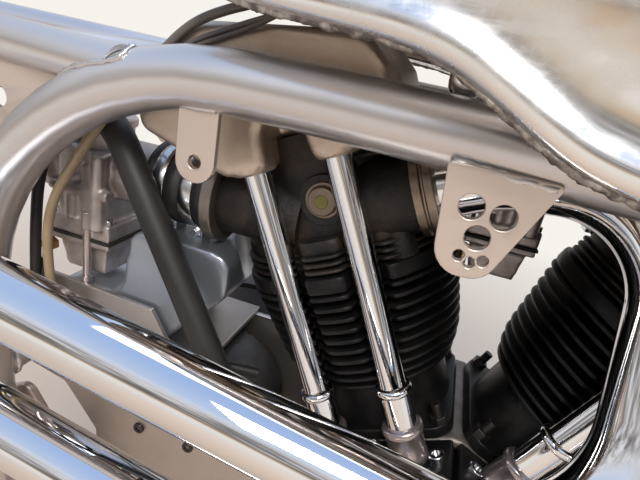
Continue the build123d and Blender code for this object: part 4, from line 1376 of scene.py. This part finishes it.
# Camera: it stands where the photograph was taken, close to the right side, and is tilted with
# it. Its place, here in metres, and its direction were fitted to the cylinder, rail and pipes.
camera_data = bpy.data.cameras.new("camera")
camera_data.lens = 27.0
camera_data.sensor_width = 36.0
camera_data.clip_start = 0.01
camera = placed("camera", camera_data)
right = Vector((0.9419, 0.2871, 0.1742))
up = Vector((-0.2586, 0.2895, 0.9216))
ahead = Vector((-0.2142, 0.9131, -0.3469))
facing = Matrix((right, up, -ahead)).transposed().to_4x4()
camera.matrix_world = Matrix.Translation((0.2490, -0.3253, 0.3420)) @ facing
bpy.context.scene.camera = camera

# Floor: plain and pale, eight metres wide. It fades into the background where the camera or a
# reflection sees it far away, so that no edge shows.
BACKGROUND = (0.93, 0.89, 0.84)
floor = bmesh.new()
bmesh.ops.create_grid(floor, x_segments=1, y_segments=1, size=4.0)
bmesh.ops.translate(floor, vec=(0.2, 0, solid_box[0][2]), verts=floor.verts)
floor_mesh = as_mesh("floor", floor)
pale_floor = finish("pale_floor", 0.0, (0.72, 0.575, 0.45), 0.75)
floor_nodes = pale_floor.node_tree.nodes
ground = Tone(pale_floor.node_tree)
spot = ground.node("TexCoord", {}, out=3)
distance = ground.node("VectorMath", {0: spot}, {"operation": "LENGTH"}, out=1)
far = ground.ramp(0.25 * distance, [(0.14, 0.0), (0.42, 1.0)])
camera_rays, glossy_rays, through_rays = [ground.node("LightPath", {}, out=out) for out in (0, 3, 6)]
seen = camera_rays + glossy_rays + through_rays
glow = ground.node("Emission", {"Color": rgba(BACKGROUND), "Strength": 1.0})
surface = Tone(pale_floor.node_tree, floor_nodes["Principled BSDF"].outputs[0])
faded = ground.node("MixShader", {0: far * ground.math("MINIMUM", seen, 1.0), 1: surface, 2: glow})
ground.plug(floor_nodes["Material Output"], {0: faded})
floor_mesh.materials.append(pale_floor)
placed("floor", floor_mesh)

# Studio: a bright sky over a dark band at the horizon, with soft glints for the chrome, seen only
# in reflections. The camera sees one plain pale tone. Two soft lamps light the piece.
world = bpy.data.worlds.new("studio")
bpy.context.scene.world = world
world.use_nodes = True
sky = Tone(world.node_tree)
heading = sky.node("TexCoord", {})
height = 0.5 + 0.5 * sky.node("SeparateXYZ", {0: heading}, out=2)
open_air = sky.ramp(height, [
    (0.0, (0.50, 0.36, 0.24)), (0.47, (0.70, 0.52, 0.36)), (0.50, (0.22, 0.20, 0.18)),
    (0.56, (0.20, 0.19, 0.18)), (0.62, (0.66, 0.66, 0.70)), (0.69, (0.86, 0.88, 0.93)),
    (0.80, (0.58, 0.71, 0.95)), (1.0, (0.42, 0.59, 0.94)),
])
glints = sky.ramp(sky.noise(heading, 5, 3, 0.6, stretch=(1, 1, 2)), [
    (0.36, (0.10, 0.095, 0.09)), (0.50, (0.36, 0.33, 0.31)), (0.66, (0.86, 0.86, 0.90)),
])
horizon = sky.ramp(height, [(0.50, 0.0), (0.52, 0.9), (0.63, 0.8), (0.74, 0.0)])
seen = sky.node("LightPath", {})
mirrored_rays = sky.node("LightPath", {}, out=3) + sky.node("LightPath", {}, out=6)
pale = sky.blend(seen, sky.blend(horizon, open_air, glints), BACKGROUND)
level = 0.6 + 0.4 * sky.math("MINIMUM", seen + mirrored_rays, 1.0)
sky.plug(world.node_tree.nodes["Background"], {"Color": pale, "Strength": level})
for name, place, size, power, tint in (
    ("key_light", (0.45, -1.5, 1.6), 0.85, 33, (1.0, 0.93, 0.84)),
    ("top_light", (0.3, 0.5, 2.0), 1.6, 18, (0.94, 0.97, 1.0)),
):
    lamp = bpy.data.lights.new(name, "AREA")
    lamp.color = tint
    lamp.size = size
    lamp.energy = power
    holder = placed(name, lamp)
    holder.location = place
    holder.rotation_euler = (Vector((0.25, 0, 0.15)) - Vector(place)).to_track_quat("-Z", "Y").to_euler()
bpy.context.scene.view_settings.view_transform = "Standard"
